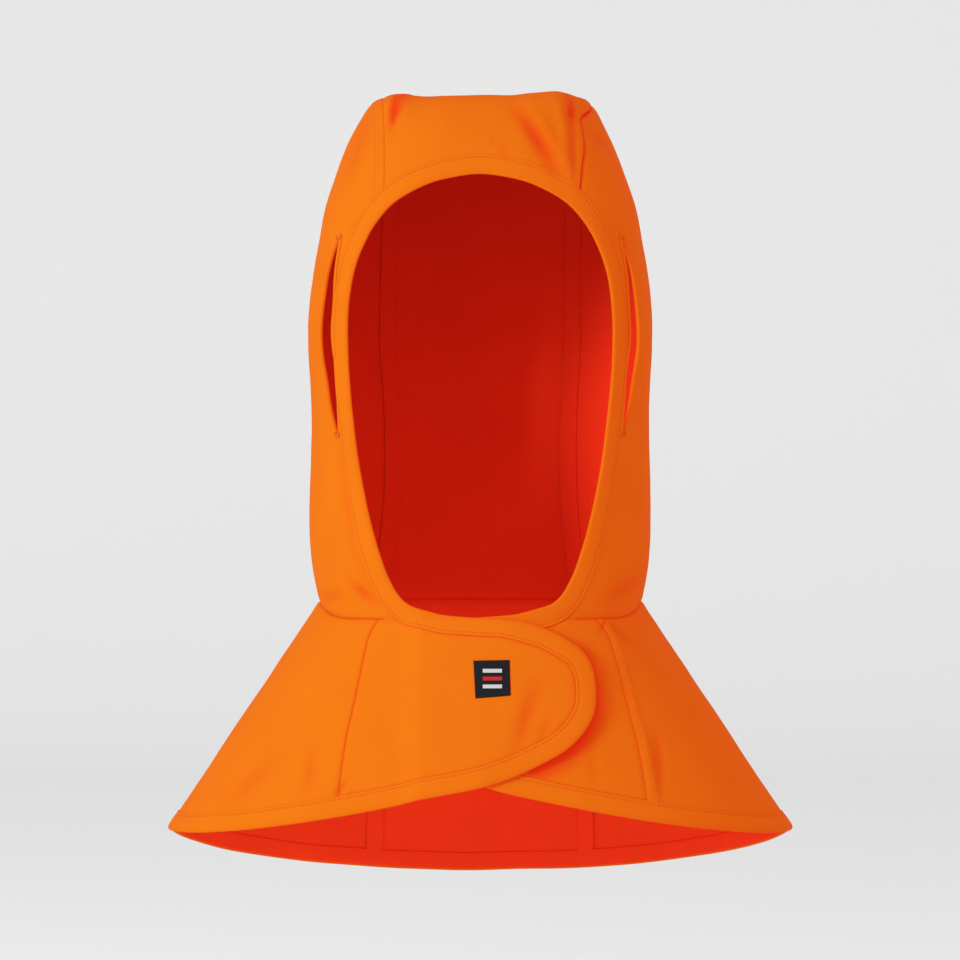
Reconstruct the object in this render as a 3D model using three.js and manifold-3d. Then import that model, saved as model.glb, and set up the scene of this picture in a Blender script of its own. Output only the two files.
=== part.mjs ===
import * as THREE from 'three';
import { mergeVertices } from 'three/addons/utils/BufferGeometryUtils.js';
import Module from 'manifold-3d';

// Helmet neck cover: a cloth hood with a face opening and two ear slits, sewn at the neck to a flared
// shoulder cape whose over flap closes across the chest.
// Millimetres, +Z up. The front looks along -Y and the origin is inside the top of the crown.

const wasm = await Module();
wasm.setup();

// Cloth
const clothWall = 1.2;
const facingWall = 1;
const facingWidth = 12;
const seamGap = 0.3;

// Hood
const hoodHeight = 310.5;
const hoodHalfWidth = 106.3;
const hoodFrontDepth = 104;
const hoodBackDepth = 122;
const neckFrontDip = 9.5;
const neckBackDip = 5;
const neckDipSpread = 0.7; // share of the depth over which the neck seam falls from the side
const gussetHalfWidth = 60;

// Face opening
const openingHeight = 267.5;
const throatRise = 1; // from the neck seam's lowest point at the front up to the opening's foot
const openingHalfWidth = 79.6;

// Ear slits
const slitTop = 88.5;
const slitHeight = 121;
const slitWidth = 10;
const slitSetback = 63;
const slitLean = 8;

// Cape
const capeDrop = 140.6;
const capeHalfWidth = 193;
const capeFrontDepth = 128;
const capeBackDepth = 150;
const hemFrontRise = 33;
const hemBackFall = 38;
const hemRisePower = 1.4;
const hemFallPower = 1.15;
const backSeamAtNeck = 64;
const backSeamAtHem = 70;
const overSeamAtNeck = 62;
const overSeamAtHem = 88.5;
const underSeamAtNeck = 71.5;
const underSeamAtHem = 104;

// Front flaps
const flapFootRise = 2.6; // from the hem's highest point up to the foot of a flap's free edge
const overFlapReach = 66.4;
const underFlapReach = 30;
const flapCornerAcross = 57.6;
const flapLift = 4;
const flapTipLift = 3;
const flapTipStart = 22;

// Closure patch and label
const patchWidth = 30;
const patchHeight = 34;
const patchWall = 2.2;
const patchAcross = 24;
const patchBelowNeck = 56;
const labelSide = 21.5;
const labelWall = 0.8;
const labelAcross = 7;
const labelBelowNeck = 44.6;
const labelTilt = -0.03;

// Squareness of the horizontal sections: 2 is an ellipse, more is boxier
const crownSquareness = 3;
const neckSquareness = 2.4;
const hemSquareness = 2.1;

// How fine the cloth is meshed
const stepsAround = 44;
const capeRings = 5;
const curvePoints = 26;
const throatPoints = 8;
const slitSteps = 8;

// Sections of the hood from the crown to the neck seam, as shares of the hood's own sizes.
// dip is the share of the neck seam's dip that the section has.
const hoodSections = [
  { drop: 0, width: 0, front: 0, back: 0, dip: 0 },
  { drop: 0, width: 0.3, front: 0.2, back: 0.22, dip: 0 },
  { drop: 0.001, width: 0.52, front: 0.42, back: 0.46, dip: 0 },
  { drop: 0.008, width: 0.6, front: 0.56, back: 0.6, dip: 0 },
  { drop: 0.024, width: 0.657, front: 0.655, back: 0.7, dip: 0 },
  { drop: 0.055, width: 0.713, front: 0.735, back: 0.77, dip: 0 },
  { drop: 0.1, width: 0.779, front: 0.81, back: 0.84, dip: 0 },
  { drop: 0.155, width: 0.84, front: 0.87, back: 0.895, dip: 0 },
  { drop: 0.22, width: 0.903, front: 0.92, back: 0.94, dip: 0 },
  { drop: 0.29, width: 0.941, front: 0.955, back: 0.975, dip: 0 },
  { drop: 0.36, width: 0.976, front: 0.98, back: 0.995, dip: 0 },
  { drop: 0.43, width: 0.997, front: 0.992, back: 1, dip: 0 },
  { drop: 0.5, width: 1, front: 1, back: 0.985, dip: 0 },
  { drop: 0.57, width: 0.989, front: 1, back: 0.96, dip: 0 },
  { drop: 0.64, width: 0.983, front: 1, back: 0.93, dip: 0 },
  { drop: 0.71, width: 0.985, front: 1, back: 0.9, dip: 0 },
  { drop: 0.78, width: 0.991, front: 1, back: 0.87, dip: 0.05 },
  { drop: 0.85, width: 0.992, front: 0.998, back: 0.845, dip: 0.2 },
  { drop: 0.91, width: 0.984, front: 0.995, back: 0.825, dip: 0.45 },
  { drop: 0.96, width: 0.963, front: 0.988, back: 0.81, dip: 0.75 },
  { drop: 1, width: 0.936, front: 0.975, back: 0.8, dip: 1 },
];

// Half outline of the face opening seen from the front, as shares of its height and half width.
const openingOutline = [
  { drop: 0, width: 0 },
  { drop: 0.0105, width: 0.253 },
  { drop: 0.0275, width: 0.431 },
  { drop: 0.06, width: 0.63 },
  { drop: 0.1, width: 0.765 },
  { drop: 0.15, width: 0.87 },
  { drop: 0.22, width: 0.955 },
  { drop: 0.32, width: 1 },
  { drop: 0.44, width: 0.996 },
  { drop: 0.55, width: 0.962 },
  { drop: 0.68, width: 0.9 },
  { drop: 0.8, width: 0.815 },
  { drop: 0.89, width: 0.72 },
  { drop: 0.937, width: 0.646 },
];

// The throat edge that closes the opening's foot, from its corner to the centre, in the same shares.
const throatOutline = [
  { drop: 0.957, width: 0.595 },
  { drop: 0.9725, width: 0.522 },
  { drop: 0.984, width: 0.39 },
  { drop: 0.994, width: 0.251 },
  { drop: 1, width: 0 },
];

// Free edge of a flap from the throat's centre round its tip to the hem, as shares of reach and drop.
const flapOutline = [
  { reach: 0.23, drop: 0.01 },
  { reach: 0.49, drop: 0.053 },
  { reach: 0.64, drop: 0.096 },
  { reach: 0.79, drop: 0.158 },
  { reach: 0.9, drop: 0.222 },
  { reach: 0.973, drop: 0.32 },
  { reach: 1, drop: 0.437 },
  { reach: 0.985, drop: 0.55 },
  { reach: 0.904, drop: 0.652 },
  { reach: 0.742, drop: 0.755 },
  { reach: 0.49, drop: 0.841 },
  { reach: 0.217, drop: 0.914 },
  { reach: -0.218, drop: 1 },
];

// Half width of the crown panel down the hood, as shares of the hood's height and the panel's width.
const gussetSections = [
  { drop: 0, width: 1 },
  { drop: 0.15, width: 0.97 },
  { drop: 0.45, width: 1 },
  { drop: 0.6, width: 0.96 },
  { drop: 0.75, width: 0.92 },
  { drop: 0.87, width: 0.98 },
  { drop: 1, width: 1.08 },
];

// Front seams of the cape from the neck to the hem: how far each has moved towards its foot.
const frontSeamSections = [
  { drop: 0, travel: 0 },
  { drop: 0.1, travel: 0.24 },
  { drop: 0.37, travel: 0.52 },
  { drop: 0.6, travel: 0.75 },
  { drop: 1, travel: 1 },
];

// Folds and dents of the front. Places and lengths are shares of the hood's half width, except drop,
// which is a share of its height. height is out of the cloth, turn is from upright in radians.
const folds = [
  { across: -0.47, drop: 0.03, length: 0.16, width: 0.075, height: -0.028, turn: -0.45 },
  { across: 0.53, drop: 0.025, length: 0.12, width: 0.07, height: -0.022, turn: 0 },
  { across: 0.36, drop: 0.11, length: 0.26, width: 0.07, height: -0.018, turn: 0.54 },
  { across: 0.46, drop: 0.1, length: 0.24, width: 0.07, height: 0.016, turn: 0.54 },
  { across: -0.68, drop: 0.978, length: 0.12, width: 0.06, height: -0.02, turn: 0.9 },
  { across: 0.86, drop: 0.95, length: 0.12, width: 0.09, height: -0.02, turn: -0.5 },
];

const clothColour = 0xec760e;
const patchColour = 0x3a3a3c;
const labelColour = 0x141416;

function columnAt(table, column, share) {
  const place = THREE.MathUtils.clamp(share, 0, 1) * (table.length - 1);
  const row = Math.min(Math.floor(place), table.length - 2);
  const t = place - row;
  const at = (index) => table[THREE.MathUtils.clamp(index, 0, table.length - 1)][column];
  const [a, b, c, d] = [at(row - 1), at(row), at(row + 1), at(row + 2)];
  return b + 0.5 * t * (c - a + t * (2 * a - 5 * b + 4 * c - d + t * (3 * (b - c) + d - a)));
}

function smooth(share) {
  return THREE.MathUtils.smoothstep(share, 0, 1);
}

// A point of a rounded section: angle 0 is +X and the front is at minus a quarter turn.
function sectionPoint(halfWidth, frontDepth, backDepth, squareness, angle) {
  const power = 2 / squareness;
  const across = Math.sign(Math.cos(angle)) * Math.abs(Math.cos(angle)) ** power;
  const depth = Math.abs(Math.sin(angle)) ** power;
  const y = Math.sin(angle) < 0 ? -depth * frontDepth : depth * backDepth;
  return { x: across * halfWidth, y, across: Math.abs(across), depth, front: Math.sin(angle) < 0 };
}

function hoodPoint(share, angle) {
  const squareness = THREE.MathUtils.lerp(crownSquareness, neckSquareness, share);
  const place = sectionPoint(
    columnAt(hoodSections, 'width', share) * hoodHalfWidth,
    columnAt(hoodSections, 'front', share) * hoodFrontDepth,
    columnAt(hoodSections, 'back', share) * hoodBackDepth,
    squareness,
    angle,
  );
  const dip = (place.front ? neckFrontDip : neckBackDip) * smooth(place.depth / neckDipSpread);
  const fall = columnAt(hoodSections, 'drop', share) * hoodHeight;
  return new THREE.Vector3(place.x, place.y, clothWall - fall - columnAt(hoodSections, 'dip', share) * dip);
}

function hemPoint(angle) {
  const place = sectionPoint(capeHalfWidth, capeFrontDepth, capeBackDepth, hemSquareness, angle);
  const rise = hemFrontRise * (1 - place.across) ** hemRisePower;
  const fall = hemBackFall * place.depth ** hemFallPower;
  const shift = place.front ? rise : -fall;
  return new THREE.Vector3(place.x, place.y, clothWall - hoodHeight - capeDrop + shift);
}

// The smooth outer form without folds. Level 0 is the crown, 1 the neck seam and 2 the hem.
function formPoint(level, angle) {
  if (level <= 1) {
    return hoodPoint(level, angle);
  }
  return hoodPoint(1, angle).lerp(hemPoint(angle), level - 1);
}

function formNormal(level, angle) {
  const step = 0.004;
  const low = Math.max(level - step, step);
  const along = formPoint(low + 2 * step, angle).sub(formPoint(low, angle));
  const round = formPoint(level, angle + step).sub(formPoint(level, angle - step));
  return along.cross(round).normalize();
}

// Halves the span between low and high until the test holds below it and fails above it.
function halvedSpan(low, high, isBelow) {
  const halvings = 30;
  let [start, end] = [low, high];
  for (let turn = 0; turn < halvings; turn += 1) {
    const middle = (start + end) / 2;
    if (isBelow(middle)) {
      start = middle;
    } else {
      end = middle;
    }
  }
  return (start + end) / 2;
}

// Angle of the front at which a level is seen at x.
function frontAngle(level, x) {
  return halvedSpan(-Math.PI, 0, (angle) => formPoint(level, angle).x < x);
}

// Level and angle of the point of the front that is seen at x, z.
function frontPlace(x, z) {
  const firstLevel = 0.02;
  const lastLevel = 2.1;
  const level = halvedSpan(firstLevel, lastLevel, (tried) => formPoint(tried, frontAngle(tried, x)).z > z);
  return { level, angle: frontAngle(level, x) };
}

const placedFolds = folds.map((fold) => {
  const place = frontPlace(fold.across * hoodHalfWidth, clothWall - fold.drop * hoodHeight);
  return {
    centre: formPoint(place.level, place.angle),
    along: new THREE.Vector3(Math.sin(fold.turn), 0, -Math.cos(fold.turn)),
    length: fold.length * hoodHalfWidth,
    width: fold.width * hoodHalfWidth,
    height: fold.height * hoodHalfWidth,
  };
});

function foldHeight(point) {
  return placedFolds.reduce((sum, fold) => {
    const away = point.clone().sub(fold.centre);
    const along = away.dot(fold.along);
    const across = Math.sqrt(Math.max(away.lengthSq() - along * along, 0));
    return sum + fold.height * Math.exp(-((along / fold.length) ** 2) - (across / fold.width) ** 2);
  }, 0);
}

// How far the over flap stands off the cloth below it: nothing at its seam and most at its tip.
function flapStandOff(point) {
  const start = -overSeamAtNeck;
  const full = -underFlapReach - facingWidth / 2;
  const lift = flapLift * smooth((point.x - start) / (full - start));
  return lift + flapTipLift * smooth((point.x - flapTipStart) / (overFlapReach - flapTipStart));
}

function noStandOff() {
  return 0;
}

function solidFrom(geometry) {
  const bare = new THREE.BufferGeometry();
  bare.setAttribute('position', geometry.getAttribute('position'));
  if (geometry.index) {
    bare.setIndex(geometry.index);
  }
  const merged = mergeVertices(bare);
  return new wasm.Manifold(
    new wasm.Mesh({
      numProp: 3,
      vertProperties: Float32Array.from(merged.getAttribute('position').array),
      triVerts: Uint32Array.from(merged.index.array),
    }),
  );
}

// A closed body of stacked rings between a top and a foot point.
function stackedRings(topPoint, rings, footPoint) {
  const points = [topPoint, ...rings.flat(), footPoint];
  const foot = points.length - 1;
  const at = (ring, step) => 1 + ring * stepsAround + (step % stepsAround);
  const faces = [];
  for (let step = 0; step < stepsAround; step += 1) {
    faces.push(0, at(0, step), at(0, step + 1));
    faces.push(foot, at(rings.length - 1, step + 1), at(rings.length - 1, step));
    for (let ring = 0; ring + 1 < rings.length; ring += 1) {
      faces.push(at(ring, step), at(ring + 1, step), at(ring + 1, step + 1));
      faces.push(at(ring, step), at(ring + 1, step + 1), at(ring, step + 1));
    }
  }
  const geometry = new THREE.BufferGeometry().setFromPoints(points);
  geometry.setIndex(faces);
  return solidFrom(geometry);
}

function ringAt(makePoint) {
  return Array.from({ length: stepsAround }, (_, step) => makePoint((step / stepsAround) * 2 * Math.PI));
}

// Everything inside the form once it is moved out by offset, down to the hem or a ring below it.
function filledForm(offset, standOff, belowHem) {
  const hoodRings = hoodSections.length - 1;
  const levels = Array.from({ length: hoodRings }, (_, ring) => (ring + 1) / hoodRings);
  for (let ring = 1; ring <= capeRings + belowHem; ring += 1) {
    levels.push(1 + ring / capeRings);
  }
  const rings = levels.map((level) =>
    ringAt((angle) => {
      const point = formPoint(level, angle);
      const out = offset + standOff(point) + foldHeight(point);
      return point.addScaledVector(formNormal(level, angle), out);
    }),
  );
  const footHeight = clothWall - hoodHeight - capeDrop * levels.at(-1) + capeDrop;
  return stackedRings(
    new THREE.Vector3(0, 0, clothWall + offset),
    rings,
    new THREE.Vector3(0, 0, footHeight),
  );
}

// A cloth of one thickness whose outer face lies offset outside the form.
function clothSheet(offset, thickness, standOff = noStandOff) {
  return filledForm(offset, standOff, 0).subtract(filledForm(offset - thickness, standOff, 1));
}

// Everything above the ring of one level, lowered by a gap.
function aboveLevel(level, gap) {
  const reach = 1.6; // the cut's surface runs from the ring's size over this share to its size times it
  const skyHeight = 100;
  const ring = (scale) =>
    ringAt((angle) => {
      const point = formPoint(level, angle);
      return new THREE.Vector3(point.x * scale, point.y * scale, point.z - gap);
    });
  const sky = ring(reach).map((point) => point.clone().setZ(skyHeight));
  const footHeight = formPoint(level, 0).z - gap;
  return stackedRings(
    new THREE.Vector3(0, 0, skyHeight),
    [sky, ring(reach), ring(1 / reach)],
    new THREE.Vector3(0, 0, footHeight),
  );
}

// A bar whose outline is drawn on the plane of across and up, and which runs from start to end.
function bar(outline, across, up, start, end) {
  const shape = new THREE.Shape(outline);
  const geometry = new THREE.ExtrudeGeometry(shape, { depth: end - start, bevelEnabled: false, steps: 1 });
  geometry.translate(0, 0, start);
  geometry.applyMatrix4(new THREE.Matrix4().makeBasis(across, up, across.clone().cross(up)));
  return solidFrom(geometry);
}

const axisX = new THREE.Vector3(1, 0, 0);
const axisY = new THREE.Vector3(0, 1, 0);
const axisZ = new THREE.Vector3(0, 0, 1);
const farAway = 300;

function frontBar(outline) {
  return bar(outline, axisX, axisZ, 0, farAway);
}

function backBar(outline) {
  return bar(outline, axisX, axisZ, -farAway, 0);
}

function block(low, high) {
  const size = high.clone().sub(low);
  const geometry = new THREE.BoxGeometry(size.x, size.y, size.z);
  const centre = low.clone().add(high).multiplyScalar(0.5);
  return solidFrom(geometry.translate(centre.x, centre.y, centre.z));
}

function curveThrough(points, count) {
  return new THREE.SplineCurve(points).getSpacedPoints(count);
}

function mirrored(points) {
  return points.map((point) => new THREE.Vector2(-point.x, point.y)).reverse();
}

// The outline moved outwards by a distance, corner by corner.
function grownOutline(points, distance) {
  const turn = THREE.ShapeUtils.isClockWise(points) ? -1 : 1;
  return points.map((point, index) => {
    const before = points.at(index - 1);
    const after = points[(index + 1) % points.length];
    const first = point.clone().sub(before).normalize();
    const second = after.clone().sub(point).normalize();
    const move = first.add(second).setLength(distance * turn);
    return new THREE.Vector2(point.x + move.y, point.y - move.x);
  });
}

// A line of the front moved by a distance measured over the cloth, to its left as it runs.
function movedOverCloth(points, distance) {
  const steps = 4;
  const spot = (point) => {
    const place = frontPlace(point.x, point.y);
    return { at: formPoint(place.level, place.angle), out: formNormal(place.level, place.angle) };
  };
  return points.map((point, index) => {
    const before = spot(points[Math.max(index - 1, 0)]).at;
    const after = spot(points[Math.min(index + 1, points.length - 1)]).at;
    const run = after.sub(before).normalize();
    let here = spot(point);
    for (let step = 0; step < steps; step += 1) {
      const aside = here.out.clone().cross(run).normalize();
      const next = here.at.clone().addScaledVector(aside, distance / steps);
      here = spot(new THREE.Vector2(next.x, next.z));
    }
    return new THREE.Vector2(here.at.x, here.at.z);
  });
}

// Outlines seen from the front
const neckZ = clothWall - hoodHeight;
const throatZ = neckZ - neckFrontDip + throatRise;
const openingCrownZ = throatZ + openingHeight;
const flapDrop = capeDrop - hemFrontRise - flapFootRise;
const openingPoint = (row) =>
  new THREE.Vector2(row.width * openingHalfWidth, openingCrownZ - row.drop * openingHeight);
const openingSide = curveThrough(openingOutline.map(openingPoint), curvePoints);
const throatCorner = openingSide.at(-1);
const throatSide = curveThrough([throatCorner, ...throatOutline.map(openingPoint)], throatPoints);
const openingHalf = [...openingSide, ...throatSide.slice(1)];
const openingLoop = [...openingHalf, ...mirrored(openingHalf.slice(1, -1))];

const neckZAt = (x) => formPoint(1, frontAngle(1, x)).z;

const roomBelowHem = 35;
const capeFootZ = neckZ - capeDrop;
const belowCapeZ = capeFootZ - hemBackFall - roomBelowHem;

// A front seam of the cape on the +X side, from the neck to below the hem.
function frontSeam(atNeck, atHem) {
  const seamTop = neckZAt(atNeck) - seamGap;
  const line = frontSeamSections.map(
    (row) =>
      new THREE.Vector2(
        THREE.MathUtils.lerp(atNeck, atHem, row.travel),
        THREE.MathUtils.lerp(seamTop, capeFootZ, row.drop),
      ),
  );
  return [...line, new THREE.Vector2(atHem, belowCapeZ)];
}

// Free edge of a flap that reaches towards +X and starts at the throat corner on the -X side.
function flapEdge(reach) {
  const edge = flapOutline.map((row) => new THREE.Vector2(row.reach * reach, throatZ - row.drop * flapDrop));
  const throat = mirrored(throatSide).reverse();
  return [...throat, ...curveThrough([throat.at(-1), ...edge], curvePoints).slice(1)];
}

// Whole outline of a flap that is sewn down on the -X side.
function flapRegion(edge, seam) {
  const foot = new THREE.Vector2(edge.at(-1).x, belowCapeZ);
  const corner = new THREE.Vector2(-flapCornerAcross, neckZAt(-flapCornerAcross) - seamGap);
  return [...edge, foot, ...mirrored(seam), corner];
}

const overEdge = flapEdge(overFlapReach);
const overSeam = frontSeam(overSeamAtNeck, overSeamAtHem);
const overRegion = flapRegion(overEdge, overSeam);
const underEdge = flapEdge(underFlapReach);
const underSeam = frontSeam(underSeamAtNeck, underSeamAtHem);
const underRegion = flapRegion(underEdge, underSeam);
const capeFrontLoop = [...underSeam, ...mirrored(overSeam)];

// Cloth layers
const cloth = clothSheet(0, clothWall);
const facing = clothSheet(-clothWall - seamGap, facingWall);
const flapCloth = clothSheet(0, clothWall, flapStandOff);
const flapFacing = clothSheet(-clothWall - seamGap, facingWall, flapStandOff);

// Cutters
const aboveNeck = aboveLevel(1, 0);
const aboveNeckGap = aboveLevel(1, seamGap);
const hemBandLevel = 2 - facingWidth / formPoint(1, 0).distanceTo(formPoint(2, 0));
const aboveHemBand = aboveLevel(hemBandLevel, 0);
const openingCut = frontBar(openingLoop);
const rightHalf = block(
  new THREE.Vector3(-farAway, -farAway, -2 * farAway),
  new THREE.Vector3(0, farAway, farAway),
);
const leftHalf = block(
  new THREE.Vector3(0, -farAway, -2 * farAway),
  new THREE.Vector3(farAway, farAway, farAway),
);
const overCut = frontBar(overRegion);
const overCutGap = frontBar(grownOutline(overRegion, seamGap));
const underCut = frontBar(mirrored(underRegion));
const underCutGap = frontBar(grownOutline(mirrored(underRegion), seamGap));
const capeFrontCut = frontBar(grownOutline(capeFrontLoop, seamGap));

function gussetCut(gap) {
  const side = gussetSections.map(
    (row) => new THREE.Vector2(row.width * gussetHalfWidth + gap, clothWall - row.drop * hoodHeight),
  );
  const skirt = new THREE.Vector2(side.at(-1).x, side.at(-1).y - neckBackDip - neckFrontDip - 1);
  const sky = new THREE.Vector2(side[0].x, farAway / 2);
  const half = [sky, ...side, skirt];
  const loop = [...half, ...mirrored(half)];
  const throatRoom = block(
    new THREE.Vector3(-farAway, -farAway, -2 * farAway),
    new THREE.Vector3(farAway, 0, openingCrownZ - openingHeight / 2),
  );
  return bar(loop, axisX, axisZ, -farAway, farAway).subtract(throatRoom);
}

function capeBackCut(gap) {
  const top = new THREE.Vector2(backSeamAtNeck + gap, neckZ + neckFrontDip);
  const foot = new THREE.Vector2(backSeamAtHem + gap, belowCapeZ);
  return backBar([top, foot, ...mirrored([top, foot])]);
}

// The long lens of an ear slit, cut through one side.
function slitCut(side) {
  const topZ = clothWall - slitTop;
  const rows = Array.from({ length: slitSteps + 1 }, (_, index) => {
    const share = index / slitSteps;
    const middle = -slitSetback - slitLean * share;
    return { middle, z: topZ - share * slitHeight, half: (slitWidth / 2) * Math.sin(Math.PI * share) };
  });
  const front = rows.map((row) => new THREE.Vector2(row.middle - row.half, row.z));
  const back = rows.slice(1, -1).map((row) => new THREE.Vector2(row.middle + row.half, row.z));
  const [start, end] = side < 0 ? [-farAway, -gussetHalfWidth] : [gussetHalfWidth, farAway];
  return bar([...front, ...back.reverse()], axisY, axisZ, start, end);
}

// A rectangle seen from the front, tilted about its centre.
function tiltedRectangle(across, belowNeck, width, height, tilt) {
  const centre = new THREE.Vector2(across, neckZ - belowNeck);
  const corners = [
    [-1, -1],
    [1, -1],
    [1, 1],
    [-1, 1],
  ];
  return corners.map(([x, y]) =>
    new THREE.Vector2((x * width) / 2, (y * height) / 2).rotateAround(new THREE.Vector2(), tilt).add(centre),
  );
}

// What the facing strip of a flap leaves free, drawn past the flap's seam and foot.
function flapInside(edge, seam) {
  const inner = movedOverCloth(edge, -facingWidth);
  const pastSeam = -Math.max(...seam.map((point) => point.x)) - facingWidth;
  return [
    ...inner,
    new THREE.Vector2(inner.at(-1).x, belowCapeZ - facingWidth),
    new THREE.Vector2(pastSeam, belowCapeZ - facingWidth),
    new THREE.Vector2(pastSeam, throatCorner.y),
  ];
}

const hoodCloth = cloth.intersect(aboveNeck);
const capeCloth = cloth.subtract(aboveNeckGap);
const crownPanel = hoodCloth.intersect(gussetCut(0)).subtract(openingCut);
const hoodSides = hoodCloth
  .subtract(gussetCut(seamGap))
  .subtract(openingCut)
  .subtract(overCutGap.intersect(rightHalf))
  .subtract(underCutGap.intersect(leftHalf));
const openingBand = movedOverCloth(openingHalf, facingWidth);
const bandLoop = [...openingBand, ...mirrored(openingBand.slice(1, -1))];
const faceFacing = facing
  .intersect(aboveNeck)
  .intersect(frontBar(bandLoop))
  .subtract(openingCut)
  .subtract(overCutGap)
  .subtract(underCutGap);
const overInside = frontBar(flapInside(overEdge, overSeam)).intersect(aboveHemBand);
const overFacing = flapFacing.intersect(overCut).subtract(overInside);
const underInside = frontBar(mirrored(flapInside(underEdge, underSeam))).intersect(aboveHemBand);
const underFacing = facing.intersect(underCut).subtract(underInside);
const capeSides = capeCloth.subtract(capeFrontCut).subtract(capeBackCut(seamGap));

function meshOf(solid) {
  const made = solid.getMesh();
  const geometry = new THREE.BufferGeometry();
  geometry.setAttribute('position', new THREE.BufferAttribute(Float32Array.from(made.vertProperties), 3));
  geometry.setIndex(new THREE.BufferAttribute(Uint32Array.from(made.triVerts), 1));
  geometry.computeVertexNormals();
  return geometry;
}

function clothMaterial() {
  return new THREE.MeshStandardMaterial({ color: clothColour, roughness: 0.9, metalness: 0 });
}

const cover = new THREE.Group();

function addPiece(name, solid, material = clothMaterial()) {
  const mesh = new THREE.Mesh(meshOf(solid), material);
  mesh.name = name;
  cover.add(mesh);
}

addPiece('crown_panel', crownPanel);
addPiece('side_panel_right', hoodSides.intersect(rightHalf).subtract(slitCut(-1)));
addPiece('side_panel_left', hoodSides.intersect(leftHalf).subtract(slitCut(1)));
addPiece('face_facing', faceFacing);
addPiece('cape_back', capeCloth.intersect(capeBackCut(0)));
addPiece('cape_side_right', capeSides.intersect(rightHalf));
addPiece('cape_side_left', capeSides.intersect(leftHalf));
addPiece('cape_under_flap', cloth.intersect(underCut));
addPiece('cape_over_flap', flapCloth.intersect(overCut));
addPiece('over_flap_facing', overFacing);
addPiece('under_flap_facing', underFacing);
addPiece('hem_facing', facing.subtract(aboveHemBand).subtract(capeFrontCut));

const patchOutline = tiltedRectangle(patchAcross, patchBelowNeck, patchWidth, patchHeight, 0);
const patchSheet = clothSheet(seamGap + patchWall, patchWall);
addPiece(
  'closure_patch',
  patchSheet.intersect(frontBar(patchOutline)),
  new THREE.MeshStandardMaterial({ color: patchColour, roughness: 1, metalness: 0 }),
);

const labelOutline = tiltedRectangle(labelAcross, labelBelowNeck, labelSide, labelSide, labelTilt);
const labelSheet = clothSheet(seamGap + labelWall, labelWall, flapStandOff);
addPiece(
  'neck_label',
  labelSheet.intersect(frontBar(labelOutline)),
  new THREE.MeshStandardMaterial({ color: labelColour, roughness: 0.8, metalness: 0 }),
);

export default cover;
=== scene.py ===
"""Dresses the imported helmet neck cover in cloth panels, bound edges, seams and stitches, and lights it."""

from __future__ import annotations

import logging
import math
from collections.abc import Callable, Sequence
from dataclasses import dataclass, field
from enum import Enum

import bpy
import numpy as np
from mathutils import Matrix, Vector, kdtree, noise
from mathutils.bvhtree import BVHTree
from mathutils.geometry import delaunay_2d_cdt
from mathutils.interpolate import poly_3d_calc

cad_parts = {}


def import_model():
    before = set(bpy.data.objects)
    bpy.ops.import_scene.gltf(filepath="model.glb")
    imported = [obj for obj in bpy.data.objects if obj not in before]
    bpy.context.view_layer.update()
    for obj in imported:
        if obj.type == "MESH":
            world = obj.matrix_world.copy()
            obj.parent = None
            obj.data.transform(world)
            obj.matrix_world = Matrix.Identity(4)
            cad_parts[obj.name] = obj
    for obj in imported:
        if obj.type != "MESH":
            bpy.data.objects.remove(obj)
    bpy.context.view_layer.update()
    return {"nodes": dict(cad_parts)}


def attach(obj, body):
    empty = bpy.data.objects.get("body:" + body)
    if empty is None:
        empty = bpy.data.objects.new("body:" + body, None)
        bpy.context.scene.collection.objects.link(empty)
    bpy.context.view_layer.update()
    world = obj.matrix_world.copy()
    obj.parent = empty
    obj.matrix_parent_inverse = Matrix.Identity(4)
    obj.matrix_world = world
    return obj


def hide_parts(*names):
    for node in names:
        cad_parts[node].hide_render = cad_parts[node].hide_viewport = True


LOG = logging.getLogger("neck_cover")
Array = np.ndarray
MM = 0.001
FRONT = -math.pi / 2
BACK = math.pi / 2
WHOLE_TURN = 2 * math.pi
NECK = 1.0
ABOVE_NECK = 0.9985
BELOW_NECK = 1.0015
HEM = 2.0
SEAM_GAP = 0.3
BAND_WIDTH = 12.0
EDGE_INSET = 1.4
GRAIN = "grain"
SHADE = "shade"


class Side(Enum):
    """The wearer's right is at negative X, and the left at positive X."""

    RIGHT = -1
    LEFT = 1


class Face(Enum):
    """Material places on a cloth piece."""

    OUTER = 0
    REVERSE = 1


def smooth(share: Array) -> Array:
    """Eases a share from 0 to 1 with flat ends."""
    held = np.clip(share, 0, 1)
    return held * held * (3 - 2 * held)


def unit(vectors: Array) -> Array:
    """Gives each row of an array the length one."""
    return vectors / np.maximum(np.linalg.norm(vectors, axis=-1, keepdims=True), 1e-12)


def chords(loop: Array, axis: int = 0) -> Array:
    """Step from the point before to the point after each point of a closed loop."""
    return np.roll(loop, -1, axis=axis) - np.roll(loop, 1, axis=axis)


def run_along(line: Array) -> Array:
    """Length along a line up to each of its points."""
    return np.concatenate([[0], np.cumsum(np.linalg.norm(np.diff(line, axis=0), axis=1))])


def read_at(places: Array, run: Array, line: Array) -> Array:
    """Reads every column of a line at places along its run."""
    return np.stack([np.interp(places, run, line[:, axis]) for axis in range(line.shape[1])], 1)


def spaced(points: Array, step: float, closed: bool = False) -> Array:
    """Resamples a line at even steps.

    Args:
        points: the line's points, one a row.
        step: the wanted distance between points.
        closed: whether the last point joins the first.

    Returns:
        The new points, without a repeat of the first where the line is closed.
    """
    line = np.vstack([points, points[:1]]) if closed else np.asarray(points, float)
    run = run_along(line)
    count = max(int(round(run[-1] / step)), 1)
    made = read_at(np.linspace(0, run[-1], count + 1), run, line)
    return made[:-1] if closed else made


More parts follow.
